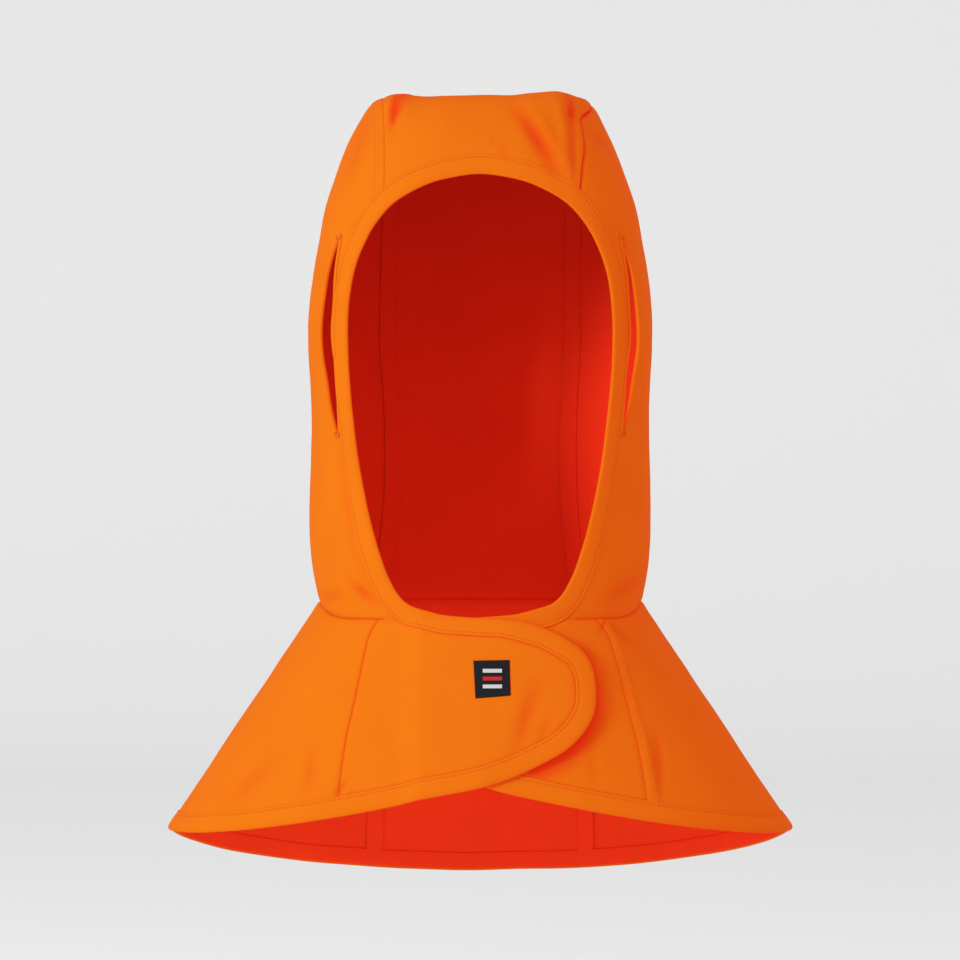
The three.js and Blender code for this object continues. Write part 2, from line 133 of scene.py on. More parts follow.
def between(rows: Sequence[Array], t: Array) -> Array:
    """Eases from the second to the third of four rows by a share t."""
    a, b, c, d = rows
    return b + 0.5 * t * (c - a + t * (2 * a - 5 * b + 4 * c - d + t * (3 * (b - c) + d - a)))


def curve_through(points: Array, count: int) -> Array:
    """Draws a smooth curve through points, with count even steps.

    Args:
        points: the points that the curve passes, one a row.
        count: how many steps the curve has.

    Returns:
        count + 1 points along the curve.
    """
    rows = np.vstack([points[0], points, points[-1]])
    t = np.linspace(0, 1, 24, endpoint=False)[:, None]
    parts = [between(rows[index : index + 4], t) for index in range(len(points) - 1)]
    line = np.vstack([*parts, points[-1:]])
    run = run_along(line)
    return read_at(np.linspace(0, run[-1], count + 1), run, line)


def halved(low: Array, high: Array, rounds: int, beyond: Callable[[Array], Array]) -> Array:
    """Narrows ranges down by halving them.

    Args:
        low: lower ends of the ranges.
        high: their upper ends.
        rounds: how often they are halved.
        beyond: says of each middle whether the wanted place lies beyond it.

    Returns:
        The middles of the last ranges.
    """
    for _ in range(rounds):
        middle = (low + high) / 2
        further = beyond(middle)
        low, high = np.where(further, middle, low), np.where(further, high, middle)
    return (low + high) / 2


def distance_to(points: Array, others: Array) -> Array:
    """Distance of each point from the nearest of some others, of two or three columns."""
    flat = ((0, 0), (0, 3 - others.shape[1]))
    tree = kdtree.KDTree(len(others))
    for index, point in enumerate(np.pad(others, flat)):
        tree.insert(point, index)
    tree.balance()
    return np.array([tree.find(point)[2] for point in np.pad(points, flat)])


def tube_faces(count: int, width: int, closed: bool = False) -> list[tuple[int, ...]]:
    """Joins cross-sections with faces, section by section, and closes the ends of an open tube.

    Args:
        count: how many sections there are.
        width: how many corners a section has.
        closed: whether the last section joins the first.

    Returns:
        Corner numbers of each face.
    """
    faces = []
    for i in range(count if closed else count - 1):
        j = (i + 1) % count
        for k in range(width):
            m = (k + 1) % width
            faces.append((i * width + k, i * width + m, j * width + m, j * width + k))
    if not closed:
        faces.append(tuple(range(width))[::-1])
        faces.append(tuple((count - 1) * width + k for k in range(width)))
    return faces


def flipped(points: Array) -> Array:
    """Mirrors front-view points across the middle."""
    return points * np.array([-1.0, 1.0])


def inside(points: Array, loop: Array) -> Array:
    """Says which points lie inside a closed loop.

    Args:
        points: the points to test, one a row.
        loop: the loop's corners in order.

    Returns:
        One true or false for each point.
    """
    found = np.zeros(len(points), bool)
    x, y = points[:, 0], points[:, 1]
    for (x0, y0), (x1, y1) in zip(loop, np.roll(loop, -1, axis=0)):
        if y0 == y1:
            continue
        crosses = (y0 > y) != (y1 > y)
        found ^= crosses & (x < (x1 - x0) * (y - y0) / (y1 - y0) + x0)
    return found


def moved_in(loop: Array, distance: float) -> Array:
    """Moves every point of a closed loop inwards by a distance."""
    run = chords(loop)
    aside = unit(np.stack([-run[:, 1], run[:, 0]], 1))
    area = np.sum(loop[:, 0] * np.roll(loop[:, 1], -1) - np.roll(loop[:, 0], -1) * loop[:, 1])
    return loop + aside * distance * (1 if area > 0 else -1)


@dataclass(frozen=True)
class Places:
    """Points of the form with the direction that leads out of the cloth, in millimetres."""

    points: Array
    out: Array

    def lifted(self, height: Array | float) -> Array:
        """Moves the points out of the cloth by a height."""
        return self.points + self.out * np.reshape(height, (-1, 1))

    def spaced(self, step: float, closed: bool = False) -> Places:
        """The same line with its points at even steps."""
        both = spaced(np.hstack([self.points, self.out * 0.001]), step, closed)
        return Places(both[:, :3], unit(both[:, 3:]))

    def cut(self, kept: slice | Array) -> Places:
        """Some of the places."""
        return Places(self.points[kept], self.out[kept])

    def trimmed(self, start: float, end: float) -> Places:
        """The same line with lengths cut off both ends."""
        run = run_along(self.points)
        return self.cut((run >= start) & (run <= run[-1] - end))


@dataclass
class HoodForm:
    """The smooth outer face of the hood and the cape, in millimetres."""

    cloth_wall: float = 1.2
    hood_height: float = 310.5
    hood_half_width: float = 106.3
    hood_front_depth: float = 104
    hood_back_depth: float = 122
    neck_front_dip: float = 9.5
    neck_back_dip: float = 5
    neck_dip_spread: float = 0.7
    cape_drop: float = 140.6
    cape_half_width: float = 193
    cape_front_depth: float = 128
    cape_back_depth: float = 150
    hem_front_rise: float = 33
    hem_back_fall: float = 38
    hem_rise_power: float = 1.4
    hem_fall_power: float = 1.15
    crown_squareness: float = 3
    neck_squareness: float = 2.4
    hem_squareness: float = 2.1
    rows_per_section: int = 7
    cape_rows: int = 70
    steps_around: int = 420
    last_level: float = 2.12
    view_distance: float = 400
    miss_reach: float = 300
    sections: Array = field(
        default_factory=lambda: np.array(
            [
                # drop, width, front, back, dip
                (0, 0, 0, 0, 0),
                (0, 0.3, 0.2, 0.22, 0),
                (0.001, 0.52, 0.42, 0.46, 0),
                (0.008, 0.6, 0.56, 0.6, 0),
                (0.024, 0.657, 0.655, 0.7, 0),
                (0.055, 0.713, 0.735, 0.77, 0),
                (0.1, 0.779, 0.81, 0.84, 0),
                (0.155, 0.84, 0.87, 0.895, 0),
                (0.22, 0.903, 0.92, 0.94, 0),
                (0.29, 0.941, 0.955, 0.975, 0),
                (0.36, 0.976, 0.98, 0.995, 0),
                (0.43, 0.997, 0.992, 1, 0),
                (0.5, 1, 1, 0.985, 0),
                (0.57, 0.989, 1, 0.96, 0),
                (0.64, 0.983, 1, 0.93, 0),
                (0.71, 0.985, 1, 0.9, 0),
                (0.78, 0.991, 1, 0.87, 0.05),
                (0.85, 0.992, 0.998, 0.845, 0.2),
                (0.91, 0.984, 0.995, 0.825, 0.45),
                (0.96, 0.963, 0.988, 0.81, 0.75),
                (1, 0.936, 0.975, 0.8, 1),
            ]
        )
    )

    def __post_init__(self) -> None:
        """Builds the fine mesh that rays are sent against."""
        hood_rows = (len(self.sections) - 1) * self.rows_per_section
        hood = np.linspace(0.002, NECK, hood_rows + 1)
        cape = np.linspace(NECK, self.last_level, self.cape_rows + 1)[1:]
        self.levels = np.concatenate([hood, cape])
        count = self.steps_around
        angles = np.linspace(0, WHOLE_TURN, count, endpoint=False)
        level, angle = np.meshgrid(self.levels, angles, indexing="ij")
        fine = self.at(level.ravel(), angle.ravel())
        self.corners, self.corner_out = fine.points, fine.out
        self.grid = self.corners.reshape(*level.shape, 3)
        row, column = np.meshgrid(np.arange(len(self.levels) - 1), np.arange(count), indexing="ij")
        after = (column + 1) % count
        self.quads = np.stack([row * count + column, (row + 1) * count + column,
                               (row + 1) * count + after, row * count + after], -1).reshape(-1, 4)
        self.tree = BVHTree.FromPolygons(self.corners.tolist(), self.quads.tolist())

    def column(self, index: int, level: Array) -> Array:
        """Reads one column of the section table at a level, eased between its rows."""
        table = self.sections[:, index]
        place = np.clip(level, 0, 1) * (len(table) - 1)
        row = np.minimum(np.floor(place).astype(int), len(table) - 2)
        beside = [table[np.clip(row + step, 0, len(table) - 1)] for step in (-1, 0, 1, 2)]
        return between(beside, place - row)

    def hood_ring(self, level: Array, across: Array, depth: Array, angle: Array) -> Array:
        """Places points of the hood from their shares of its width and depth."""
        front = np.sin(angle) < 0
        deep = np.where(
            front,
            -self.column(2, level) * self.hood_front_depth,
            self.column(3, level) * self.hood_back_depth,
        )
        dip = np.where(front, self.neck_front_dip, self.neck_back_dip)
        dip = dip * smooth(depth / self.neck_dip_spread) * self.column(4, level)
        x = np.sign(np.cos(angle)) * across * self.column(1, level) * self.hood_half_width
        z = self.cloth_wall - self.column(0, level) * self.hood_height - dip
        return np.stack([x, depth * deep, z], -1)

    def hood(self, level: Array, angle: Array) -> Array:
        """Places points of the hood from crown, level 0, to neck seam, level 1."""
        power = self.crown_squareness + (self.neck_squareness - self.crown_squareness) * level
        c, s = np.abs(np.cos(angle)), np.abs(np.sin(angle))
        reach = (c**power + s**power) ** (-1 / power)
        return self.hood_ring(level, c * reach, s * reach, angle)

    def cape(self, level: Array, angle: Array) -> Array:
        """Places points of the cape from neck seam, level 1, to hem, level 2."""
        middle = (self.neck_squareness + self.hem_squareness) / 4
        c, s = np.abs(np.cos(angle)) ** middle, np.abs(np.sin(angle)) ** middle
        size = np.hypot(c, s)
        c, s = c / size, s / size
        neck = self.hood_ring(np.ones_like(angle), c ** (2 / self.neck_squareness),
                              s ** (2 / self.neck_squareness), angle)
        across, depth = c ** (2 / self.hem_squareness), s ** (2 / self.hem_squareness)
        front = np.sin(angle) < 0
        rise = np.where(front, self.hem_front_rise * (1 - across) ** self.hem_rise_power,
                        -self.hem_back_fall * depth**self.hem_fall_power)
        hem = np.stack(
            [
                np.sign(np.cos(angle)) * across * self.cape_half_width,
                depth * np.where(front, -self.cape_front_depth, self.cape_back_depth),
                self.cloth_wall - self.hood_height - self.cape_drop + rise,
            ],
            -1,
        )
        share = (level - 1)[..., None]
        return neck * (1 - share) + hem * share

    def point(self, level: Array, angle: Array) -> Array:
        """Places points at a level from 0 to 2 and an angle about the upright axis."""
        low = self.hood(np.clip(level, 0.0005, 1), angle)
        return np.where((level <= 1)[..., None], low, self.cape(np.maximum(level, 1), angle))

    def at(self, level: Array, angle: Array) -> Places:
        """Places points and the direction out of the cloth at each."""
        level, angle = np.broadcast_arrays(np.asarray(level, float), np.asarray(angle, float))
        step, turn = 0.004, 0.004
        low = np.maximum(level - step, 0.0006)
        down = self.point(low + 2 * step, angle) - self.point(low, angle)
        round_it = self.point(level, angle + turn) - self.point(level, angle - turn)
        return Places(self.point(level, angle), unit(np.cross(down, round_it)))

    def settled(self, quad: int, spot: Vector) -> tuple[Array, Array]:
        """Reads the exact out direction of a spot on one quad of the fine mesh."""
        ids = self.quads[quad]
        weights = np.array(poly_3d_calc([Vector(p) for p in self.corners[ids]], spot))
        out = (self.corner_out[ids] * weights[:, None]).sum(0)
        return np.array(spot), out / max(np.linalg.norm(out), 1e-12)

    def seen(self, starts: Array, heading: Array) -> Places:
        """Sends rays at the form and gives where they meet it.

        Args:
            starts: where each ray starts.
            heading: the direction of each ray.

        Returns:
            The places met, or the nearest ones for a ray that misses.
        """
        points, outs = [], []
        for start, way in zip(starts, np.broadcast_to(heading, starts.shape)):
            spot, _, quad, _ = self.tree.ray_cast(Vector(start), Vector(way))
            if spot is None:
                spot, _, quad, _ = self.tree.find_nearest(Vector(start + way * self.miss_reach))
            point, out = self.settled(quad, spot)
            points.append(point)
            outs.append(out)
        return Places(np.array(points), np.array(outs))

    def front(self, view: Array) -> Places:
        """Gives the places of the front that are seen at x, z."""
        starts = np.stack([view[:, 0], np.full(len(view), -self.view_distance), view[:, 1]], 1)
        return self.seen(starts, np.array([0.0, 1.0, 0.0]))

    def nearest(self, points: Array) -> Places:
        """Gives the places of the form nearest to points."""
        found = [self.settled(quad, spot) for spot, _, quad, _ in
                 (self.tree.find_nearest(Vector(point)) for point in points)]
        return Places(np.array([f[0] for f in found]), np.array([f[1] for f in found]))

    def angle_at(self, level: float | Array, x: Array, back: bool = False) -> Array:
        """Finds the angle at which a level passes x, on the front or the back."""
        x = np.asarray(x, float)
        level = np.broadcast_to(np.asarray(level, float), x.shape)
        low = np.full(x.shape, 0.0 if back else -math.pi)
        return halved(low, low + math.pi, 40, lambda angle: (self.point(level, angle)[..., 0] < x) != back)

    def place_of(self, view: Array, back: bool = False) -> Array:
        """Finds the level and angle of the points seen at x, z.

        Args:
            view: x, z of each point.
            back: whether they are seen from behind.

        Returns:
            Level and angle of each point, one a row.
        """
        def is_above(level: Array) -> Array:
            """Says whether levels pass above the points."""
            return self.point(level, self.angle_at(level, view[:, 0], back))[:, 2] > view[:, 1]

        level = halved(np.full(len(view), 0.02), np.full(len(view), self.last_level), 32, is_above)
        return np.stack([level, self.angle_at(level, view[:, 0], back)], 1)


@dataclass(frozen=True)
class Pattern:
    """Where the edges and seams lie, in millimetres; outlines are seen from the front."""

    form: HoodForm
    opening_height: float = 267.5
    opening_half_width: float = 80.6
    throat_rise: float = 1
    gusset_half_width: float = 60
    over_seam_at_neck: float = 62
    over_seam_at_hem: float = 88.5
    under_seam_at_neck: float = 71.5
    under_seam_at_hem: float = 104
    back_seam_at_neck: float = 64
    back_seam_at_hem: float = 70
    over_flap_reach: float = 66.4
    under_flap_reach: float = 30
    flap_foot_rise: float = 2.6
    flap_corner_across: float = 57.6
    slit_top: float = 88.5
    slit_height: float = 121
    slit_width: dict[Side, float] = field(default_factory=lambda: {Side.RIGHT: 13, Side.LEFT: 10})
    slit_setback: float = 59.5
    slit_lean: float = 8
    slit_bow: float = 8
    slit_hook: float = 4.5
    foot_ease: int = 30

    @property
    def neck_z(self) -> float:
        """Height of the neck seam at the sides."""
        return self.form.cloth_wall - self.form.hood_height

    @property
    def throat_z(self) -> float:
        """Height of the opening's foot."""
        return self.neck_z - self.form.neck_front_dip + self.throat_rise

    def opening_side(self) -> Array:
        """Edge of the opening at +X, from the brow's middle to the throat's corner."""
        rows = np.array([
            # drop, width
            (0, 0), (0.0105, 0.253), (0.0275, 0.431), (0.06, 0.63), (0.1, 0.765), (0.15, 0.87),
            (0.22, 0.955), (0.32, 1), (0.44, 0.996), (0.55, 0.962), (0.68, 0.9), (0.8, 0.815),
            (0.89, 0.72), (0.937, 0.646),
        ])
        edge = self.of_opening(rows)
        both = curve_through(np.vstack([flipped(edge[3:0:-1]), edge]), 260)
        return np.vstack([edge[:1], both[both[:, 0] > 0.5]])

    def throat(self) -> Array:
        """Edge of the throat at +X, from its corner to the middle."""
        rows = np.array([
            # drop, width
            (0.937, 0.646), (0.957, 0.595), (0.9725, 0.522), (0.984, 0.39), (0.994, 0.251), (1, 0),
        ])
        return curve_through(self.of_opening(rows), 40)

    def of_opening(self, rows: Array) -> Array:
        """Turns shares of the opening's size into x, z."""
        top = self.throat_z + self.opening_height
        drop = rows[:, 0] * self.opening_height
        return np.stack([rows[:, 1] * self.opening_half_width, top - drop], 1)

    def flap_edge(self, reach: float) -> Array:
        """Free edge of a flap that reaches +X, from the throat's corner at -X to its foot."""
        rows = np.array([
            # reach, drop
            (0, 0), (0.23, 0.01), (0.49, 0.053), (0.64, 0.096), (0.79, 0.158), (0.9, 0.222),
            (0.973, 0.32), (1, 0.437), (0.985, 0.55), (0.904, 0.652), (0.742, 0.755), (0.49, 0.841),
            (0.217, 0.914), (-0.218, 1),
        ])
        drop = self.form.cape_drop - self.form.hem_front_rise - self.flap_foot_rise
        line = np.stack([rows[:, 0] * reach, self.throat_z - rows[:, 1] * drop], 1)
        return np.vstack([flipped(self.throat()), curve_through(line, 150)[1:]])

    def free_edge(self, reach: float, seam_at_hem: float) -> Array:
        """Free edge of a flap that reaches +X, and on along the hem to the foot of its seam.

        Args:
            reach: how far the flap's tip reaches.
            seam_at_hem: how far out its seam meets the hem.

        Returns:
            Points x, z a millimetre apart, with the edge running smoothly into the hem.
        """
        edge = self.flap_edge(reach)
        hem = self.front_at(HEM, np.linspace(edge[-1, 0], -seam_at_hem, 60)[1:])
        line = spaced(np.vstack([edge, hem]), 1.0)
        joint = int(np.argmin(np.linalg.norm(line - edge[-1], axis=1)))
        low, high = joint - self.foot_ease, joint + self.foot_ease
        first, last = line[low], line[high]
        size = np.linalg.norm(last - first)
        into, out_of = (unit(line[k] - line[k - 4]) * size for k in (low, high + 4))
        t = np.linspace(0, 1, high - low + 1)[:, None]
        eased = (
            (2 * t**3 - 3 * t**2 + 1) * first
            + (t**3 - 2 * t**2 + t) * into
            + (3 * t**2 - 2 * t**3) * last
            + (t**3 - t**2) * out_of
        )
        return np.vstack([line[:low], eased, line[high + 1 :]])

    def front_seam(self, at_neck: float, at_hem: float) -> Array:
        """Seam of the cape at +X, from the neck to just above the hem."""
        rows = np.array([
            # drop, travel
            (0, 0), (0.1, 0.24), (0.37, 0.52), (0.6, 0.75), (1, 1),
        ])
        top = self.front_at(NECK, np.array([at_neck]))[0, 1] - SEAM_GAP
        foot = self.neck_z - self.form.cape_drop
        x = at_neck + (at_hem - at_neck) * rows[:, 1]
        return curve_through(np.stack([x, top + (foot - top) * rows[:, 0]], 1), 90)

    def front_at(self, level: float, x: Array) -> Array:
        """Points x, z of the front of a level at x."""
        levels = np.full(len(x), level)
        return np.stack([x, self.form.point(levels, self.form.angle_at(levels, x))[:, 2]], 1)

    def gusset_width(self, z: Array, side: Side = Side.RIGHT, back: bool | Array = False) -> Array:
        """Half width of the crown panel.

        Args:
            z: heights.
            side: the side of the panel; its left seam leans out at the top.
            back: whether a height is on the back of the hood.

        Returns:
            Half widths in millimetres.
        """
        rows = curve_through(np.array([
            # drop, width
            (0, 1), (0.15, 0.97), (0.45, 1), (0.6, 0.965), (0.75, 0.945), (0.87, 0.98), (1, 1.06),
        ]), 160)
        drop = (self.form.cloth_wall - z) / self.form.hood_height
        width = np.interp(drop, rows[:, 0], rows[:, 1]) * self.gusset_half_width
        if side is Side.RIGHT:
            return width
        front = np.array([
            # height, lean
            (-100, 0), (-80, 0.4), (-60, 1.8), (-48, 3.2), (-37, 4.7), (-30, 4.6), (-23, 3.4),
            (-18, 2.0), (-16, 2.0), (-14, 2.8), (-9.8, 7.4), (-5, 7.6), (2, 7.6),
        ])
        behind = np.array([(-110, 0), (-60, 2.2), (-25, 5.6), (-9.8, 7.4), (-5, 7.6), (2, 7.6)])
        leans = [np.interp(z, table[:, 0], table[:, 1]) for table in (front, behind)]
        return width + np.where(back, leans[1], leans[0])

    def gusset_seam(self, side: Side, back: bool) -> Array:
        """Level and angle of the seam beside the crown panel, as if at +X, from the top down.

        Args:
            side: the side of the panel.
            back: whether it is the back half of the seam.

        Returns:
            Level and angle of each point, one a row.
        """
        levels = np.linspace(0.02, NECK, 500)
        halves = self.form.point(levels, np.zeros(len(levels)))
        first = levels[np.argmax(halves[:, 0] > self.gusset_width(halves[:, 2], side))]
        levels = first + (NECK - first) * np.linspace(0, 1, 400) ** 1.6
        middle = self.form.point(levels, np.full(len(levels), BACK))
        across = self.gusset_width(middle[:, 2], side, back)
        for _ in range(10):
            found = self.form.point(levels, self.form.angle_at(levels, across, back))
            across = 0.5 * (across + self.gusset_width(found[:, 2], side, back))
        angle = self.form.angle_at(levels, across, back)
        angle[0] = 0
        return np.stack([levels, angle], 1)

    def slit(self, side: Side) -> Array:
        """Lens of an ear slit as y, z."""
        share = np.linspace(0, 1, 60)
        middle = -self.slit_setback - self.slit_lean * share - self.slit_bow * (1 - share) ** 3
        half = self.slit_width[side] / 2 * np.sin(math.pi * share) ** 0.7
        sway = 0.7 * np.sin(5 * math.pi * share) * np.sin(math.pi * share)
        middle = middle + sway - self.slit_hook * share**4
        z = self.form.cloth_wall - self.slit_top - share * self.slit_height
        front = np.stack([middle - half, z], 1)
        back = np.stack([middle + half, z], 1)[1:-1][::-1]
        return np.vstack([front, back])


@dataclass(frozen=True)
class Crease:
    """A crease or soft ridge of the front, from one point to another as x, z in millimetres."""

    start: tuple[float, float]
    end: tuple[float, float]
    width: float
    height: float

    def height_at(self, view: Array) -> Array:
        """How far it moves the cloth at x, z."""
        start, run = np.array(self.start), np.array(self.end) - np.array(self.start)
        size = np.linalg.norm(run)
        way = run / size
        away = view - start
        along = away @ way
        across = away @ np.array([-way[1], way[0]])
        past = np.maximum(np.maximum(-along, along - size), 0)
        share = np.clip(along / size, 0, 1)
        bow = np.sin(math.pi * (0.12 + 0.76 * share))
        fade = np.exp(-((across / self.width) ** 2) - (past / (self.width * 1.6)) ** 2)
        return self.height * bow * fade


def creases_of(rows: Sequence[tuple[float, ...]]) -> tuple[Crease, ...]:
    """Makes creases from rows of six numbers."""
    return tuple(Crease(row[:2], row[2:4], *row[4:]) for row in rows)


@dataclass
class Relief:
    """Folds, dents and slackness of the cloth, in millimetres out of the smooth form, and the painted shade
    of its dents and of the hood's inside.
    """

    crown_line: tuple[tuple[float, float], ...] = (
        # across, lift
        (-78, 0), (-66, 0.2), (-60, 0.3), (-55, 1.1), (-48, 1.2), (-44, 0.7), (-40.5, -0.4), (-36, -1.1),
        (-31, -1.45), (-24, -1.2), (-12, -0.85), (0, -0.6), (18, -0.6), (24, -0.1), (30, 0.75), (37, 1.5),
        (43, 2.3), (47, 2.6), (50, 2.4), (54, 1.8), (60, 1.0), (68, 1.1), (76, 1.0), (84, 0.7), (94, 0),
    )
    slack_height: float = 0.55
    slack_behind: float = 1.6
    slack_length: float = 46
    ripple_height: float = 0.16
    ripple_length: float = 13
    creases: tuple[Crease, ...] = creases_of((
        # x, z of the start, x, z of the end, width, height
        (-52.3, -8, -53.6, -20, 2.1, -1.1), (-49, -8, -51.5, -14, 3.4, -0.8),
        (54.4, -9, 54.6, -17, 2.6, -1.3), (55.8, -14, 56.3, -52, 2.2, -0.9),
        (46.5, -7, 51.5, -30, 3.6, 1.3), (51, -26, 52.3, -52, 3.4, 1.1),
        (24, -12, 48.6, -51.6, 5.0, -1.5), (33, -12, 53.5, -50.5, 4.6, 1.6),
        (66, -11, 61, -15.5, 1.5, -0.9), (68, -24, 79, -33, 3.5, -0.8),
        (7, -25, 9.5, -34, 1.6, -0.5), (13.5, -32, 17, -39, 1.6, -0.6),
        (-69.4, -15.3, -80.9, -51.7, 4.5, -0.7), (-63.7, -60.7, -61.3, -70.4, 1.8, -0.5),
        (-74.7, -78.4, -77.7, -84.3, 2.2, -0.6), (-85.5, -208.4, -76.4, -277.3, 3.0, -0.6),
        (-76.4, -277.3, -62.6, -310, 2.6, -0.5), (-77.5, -297.5, -66, -307.2, 2.6, -1.6),
        (-84, -304, -97, -307.6, 3.2, -0.9), (97, -295.5, 78, -306.5, 4.0, -1.0),
        (76.5, -318, 72.5, -328, 1.3, -0.8), (77, -321, 94, -335, 2.8, -0.8),
        (-80, -413, -86.5, -423.5, 1.9, -1.1), (-76, -416, -81, -424, 1.6, 0.7),
        (-101, -398, -103.5, -422, 3.4, -0.7), (-124, -405, -150, -427, 4.5, -0.6),
        (-118, -352, -140, -418, 7.0, 0.6), (33, -360, 21.5, -394, 4.6, -1.1),
        (40, -378, 34, -393, 3.0, -0.7), (25, -352, 17, -388, 6.5, 0.6),
        (106, -388, 109, -421, 3.2, -1.0), (98, -385, 103, -421, 2.6, 0.6),
        (66, -392, 68, -416, 3.5, -0.6),
    ))
    # Dents that carry only painted shade and don't move the cloth.
    shade_only_dents: tuple[Crease, ...] = creases_of((
        # x, z of the start, x, z of the end, width, height
        (-50.5, 8, -54.2, -20, 2.2, -1.7), (-43.5, 8, -51, -13, 3.4, -1.8),
        (53.5, 4, 54.8, -17, 2.6, -1.4), (24, -14, 40, -38, 4.0, -0.9),
    ))
    # Painted shade of the reverse by height: darkest in the crown, where the inside of the hood gets least
    # light, and none in the cape.
    inner_shade_rows: tuple[tuple[float, float], ...] = ((-335, 0), (-300, 0.25), (-170, 0.25), (-50, 0.42))
    full_dent: float = 2.6
    front_until: float = 25
    crown_depth: float = 26
    crown_fade: float = 20
    crown_length: float = 60
    flute_top: float = -335
    flute_growth: float = 60
    flute_height: float = 1.7
    fine_flute_height: float = 0.9
    hem_start: float = -400
    hem_hold: float = 0.8
    hem_fade: float = 75

    def facing(self, places: Places) -> Array:
        """How far places face the front, from 0 to 1."""
        return smooth(-places.out[:, 1] * 2.5 + 0.6)

    def height_at(self, places: Places) -> Array:
        """Adds up the folds of the front and the slackness all round."""
        points = places.points
        view = points[:, [0, 2]]
        facing = self.facing(places) * (points[:, 1] < self.front_until)
        total = np.zeros(len(points))
        for crease in self.creases:
            total += crease.height_at(view) * facing
        top = smooth((points[:, 2] + self.crown_depth) / self.crown_fade)
        top = top * smooth((self.crown_length - points[:, 1]) / self.crown_length)
        rows = curve_through(np.array(self.crown_line), 300)
        total += np.interp(points[:, 0], rows[:, 0], rows[:, 1]) * top
        return total + self.flutes(points) + self.slackness(points)

    def flutes(self, points: Array) -> Array:
        """Soft upright flutes of the cape's back and sides, which the bound hem flattens."""
        angle = np.arctan2(points[:, 1], points[:, 0])
        grown = smooth((self.flute_top - points[:, 2]) / self.flute_growth)
        held = 1 - self.hem_hold * smooth((self.hem_start - points[:, 2]) / self.hem_fade)
        wide = self.flute_height * np.cos(angle * 9 + 0.4)
        fine = self.fine_flute_height * np.cos(angle * 17 + 1.1)
        return grown * held * smooth(points[:, 1] / 60) * (wide + fine)

    def slackness(self, points: Array) -> Array:
        """Gentle unevenness of hanging cloth."""
        slack = np.array([noise.noise(Vector(p / self.slack_length)) for p in points])
        ripple = np.array([noise.noise(Vector(p / self.ripple_length + 40)) for p in points])
        behind = 1 + self.slack_behind * smooth(points[:, 1] / 50)
        return self.slack_height * behind * slack + self.ripple_height * ripple

    def inner_shade_at(self, points: Array) -> Array:
        """Painted shade of the reverse at points: most in the crown and none in the cape, standing in for
        the dimmer light inside the hood.
        """
        rows = np.array(self.inner_shade_rows)
        return np.interp(points[:, 2], rows[:, 0], rows[:, 1])

    def shade_at(self, places: Places) -> Array:
        """Painted shade of folds at points, from the depth of the creases and the shade-only dents: 0 on the
        open face, and half the full shade in a deep dent.
        """
        view = places.points[:, [0, 2]]
        deep = sum(np.maximum(-crease.height_at(view), 0) for crease in self.creases + self.shade_only_dents)
        return 0.5 * np.clip(deep * self.facing(places) / self.full_dent, 0, 1)


@dataclass(frozen=True)
class FlapLift:
    """How far the over flap stands off the cloth below it."""

    seam: float = 62
    full: float = 36
    height: float = 4
    tip_start: float = 22
    tip: float = 66.4
    tip_height: float = 3

    def at(self, points: Array) -> Array:
        """Lift of points of the over flap."""
        x = points[:, 0]
        lift = self.height * smooth((x + self.seam) / (self.seam - self.full))
        return lift + self.tip_height * smooth((x - self.tip_start) / (self.tip - self.tip_start))


def no_lift(points: Array) -> Array:
    """Lift of a piece that lies on the form."""
    return np.zeros(len(points))


class NodeBoard:
    """One material and the nodes on it."""

    def __init__(self, name: str) -> None:
        """Starts a material with its surface shader."""
        self.material = bpy.data.materials.new(name)
        self.material.use_nodes = True
        self.tree = self.material.node_tree
        self.shader = self.tree.nodes["Principled BSDF"]

    def add(self, kind: str, inputs: dict[str, object] | None = None,
            **settings: object) -> bpy.types.Node:
        """Adds a node.

        Args:
            kind: the node's type.
            inputs: values or sockets for its inputs, by name or number.
            settings: its other settings.

        Returns:
            The node.
        """
        node = self.tree.nodes.new(kind)
        for name, value in settings.items():
            setattr(node, name, value)
        for name, value in (inputs or {}).items():
            self.put(node, name, value)
        return node

    def put(self, node: bpy.types.Node, name: str | int, value: object) -> None:
        """Sets an input to a value or links a socket to it."""
        if isinstance(value, bpy.types.NodeSocket):
            self.tree.links.new(value, node.inputs[name])
        else:
            node.inputs[name].default_value = value

    def ramp(self, factor: bpy.types.NodeSocket,
             stops: Sequence[tuple[float, tuple[float, ...]]]) -> bpy.types.NodeSocket:
        """Turns a factor into a colour by stops of place and colour."""
        node = self.add("ShaderNodeValToRGB", {0: factor})
        band = node.color_ramp
        while len(band.elements) < len(stops):
            band.elements.new(0.5)
        for element, (place, colour) in zip(band.elements, stops):
            element.position = place
            element.color = (*colour[:3], 1)
        return node.outputs[0]

    def grain(self) -> bpy.types.NodeSocket:
        """Coordinates along the cloth's grain, in millimetres."""
        return self.add("ShaderNodeUVMap", uv_map=GRAIN).outputs[0]

    def noise(self, where: bpy.types.NodeSocket, scale: float, detail: float = 2) -> bpy.types.NodeSocket:
        """A soft uneven pattern from 0 to 1."""
        return self.add("ShaderNodeTexNoise", {"Vector": where, "Scale": scale, "Detail": detail}).outputs[0]

    def math(self, what: str, *values: object) -> bpy.types.NodeSocket:
        """Works out one number."""
        return self.add("ShaderNodeMath", dict(enumerate(values)), operation=what).outputs[0]

    def mixed(self, factor: object, first: object, second: object,
              blend: str = "MIX") -> bpy.types.NodeSocket:
        """Mixes two colours."""
        node = self.add("ShaderNodeMix", data_type="RGBA", blend_type=blend)
        self.put(node, 0, factor)
        self.put(node, 6, first)
        self.put(node, 7, second)
        return node.outputs[2]


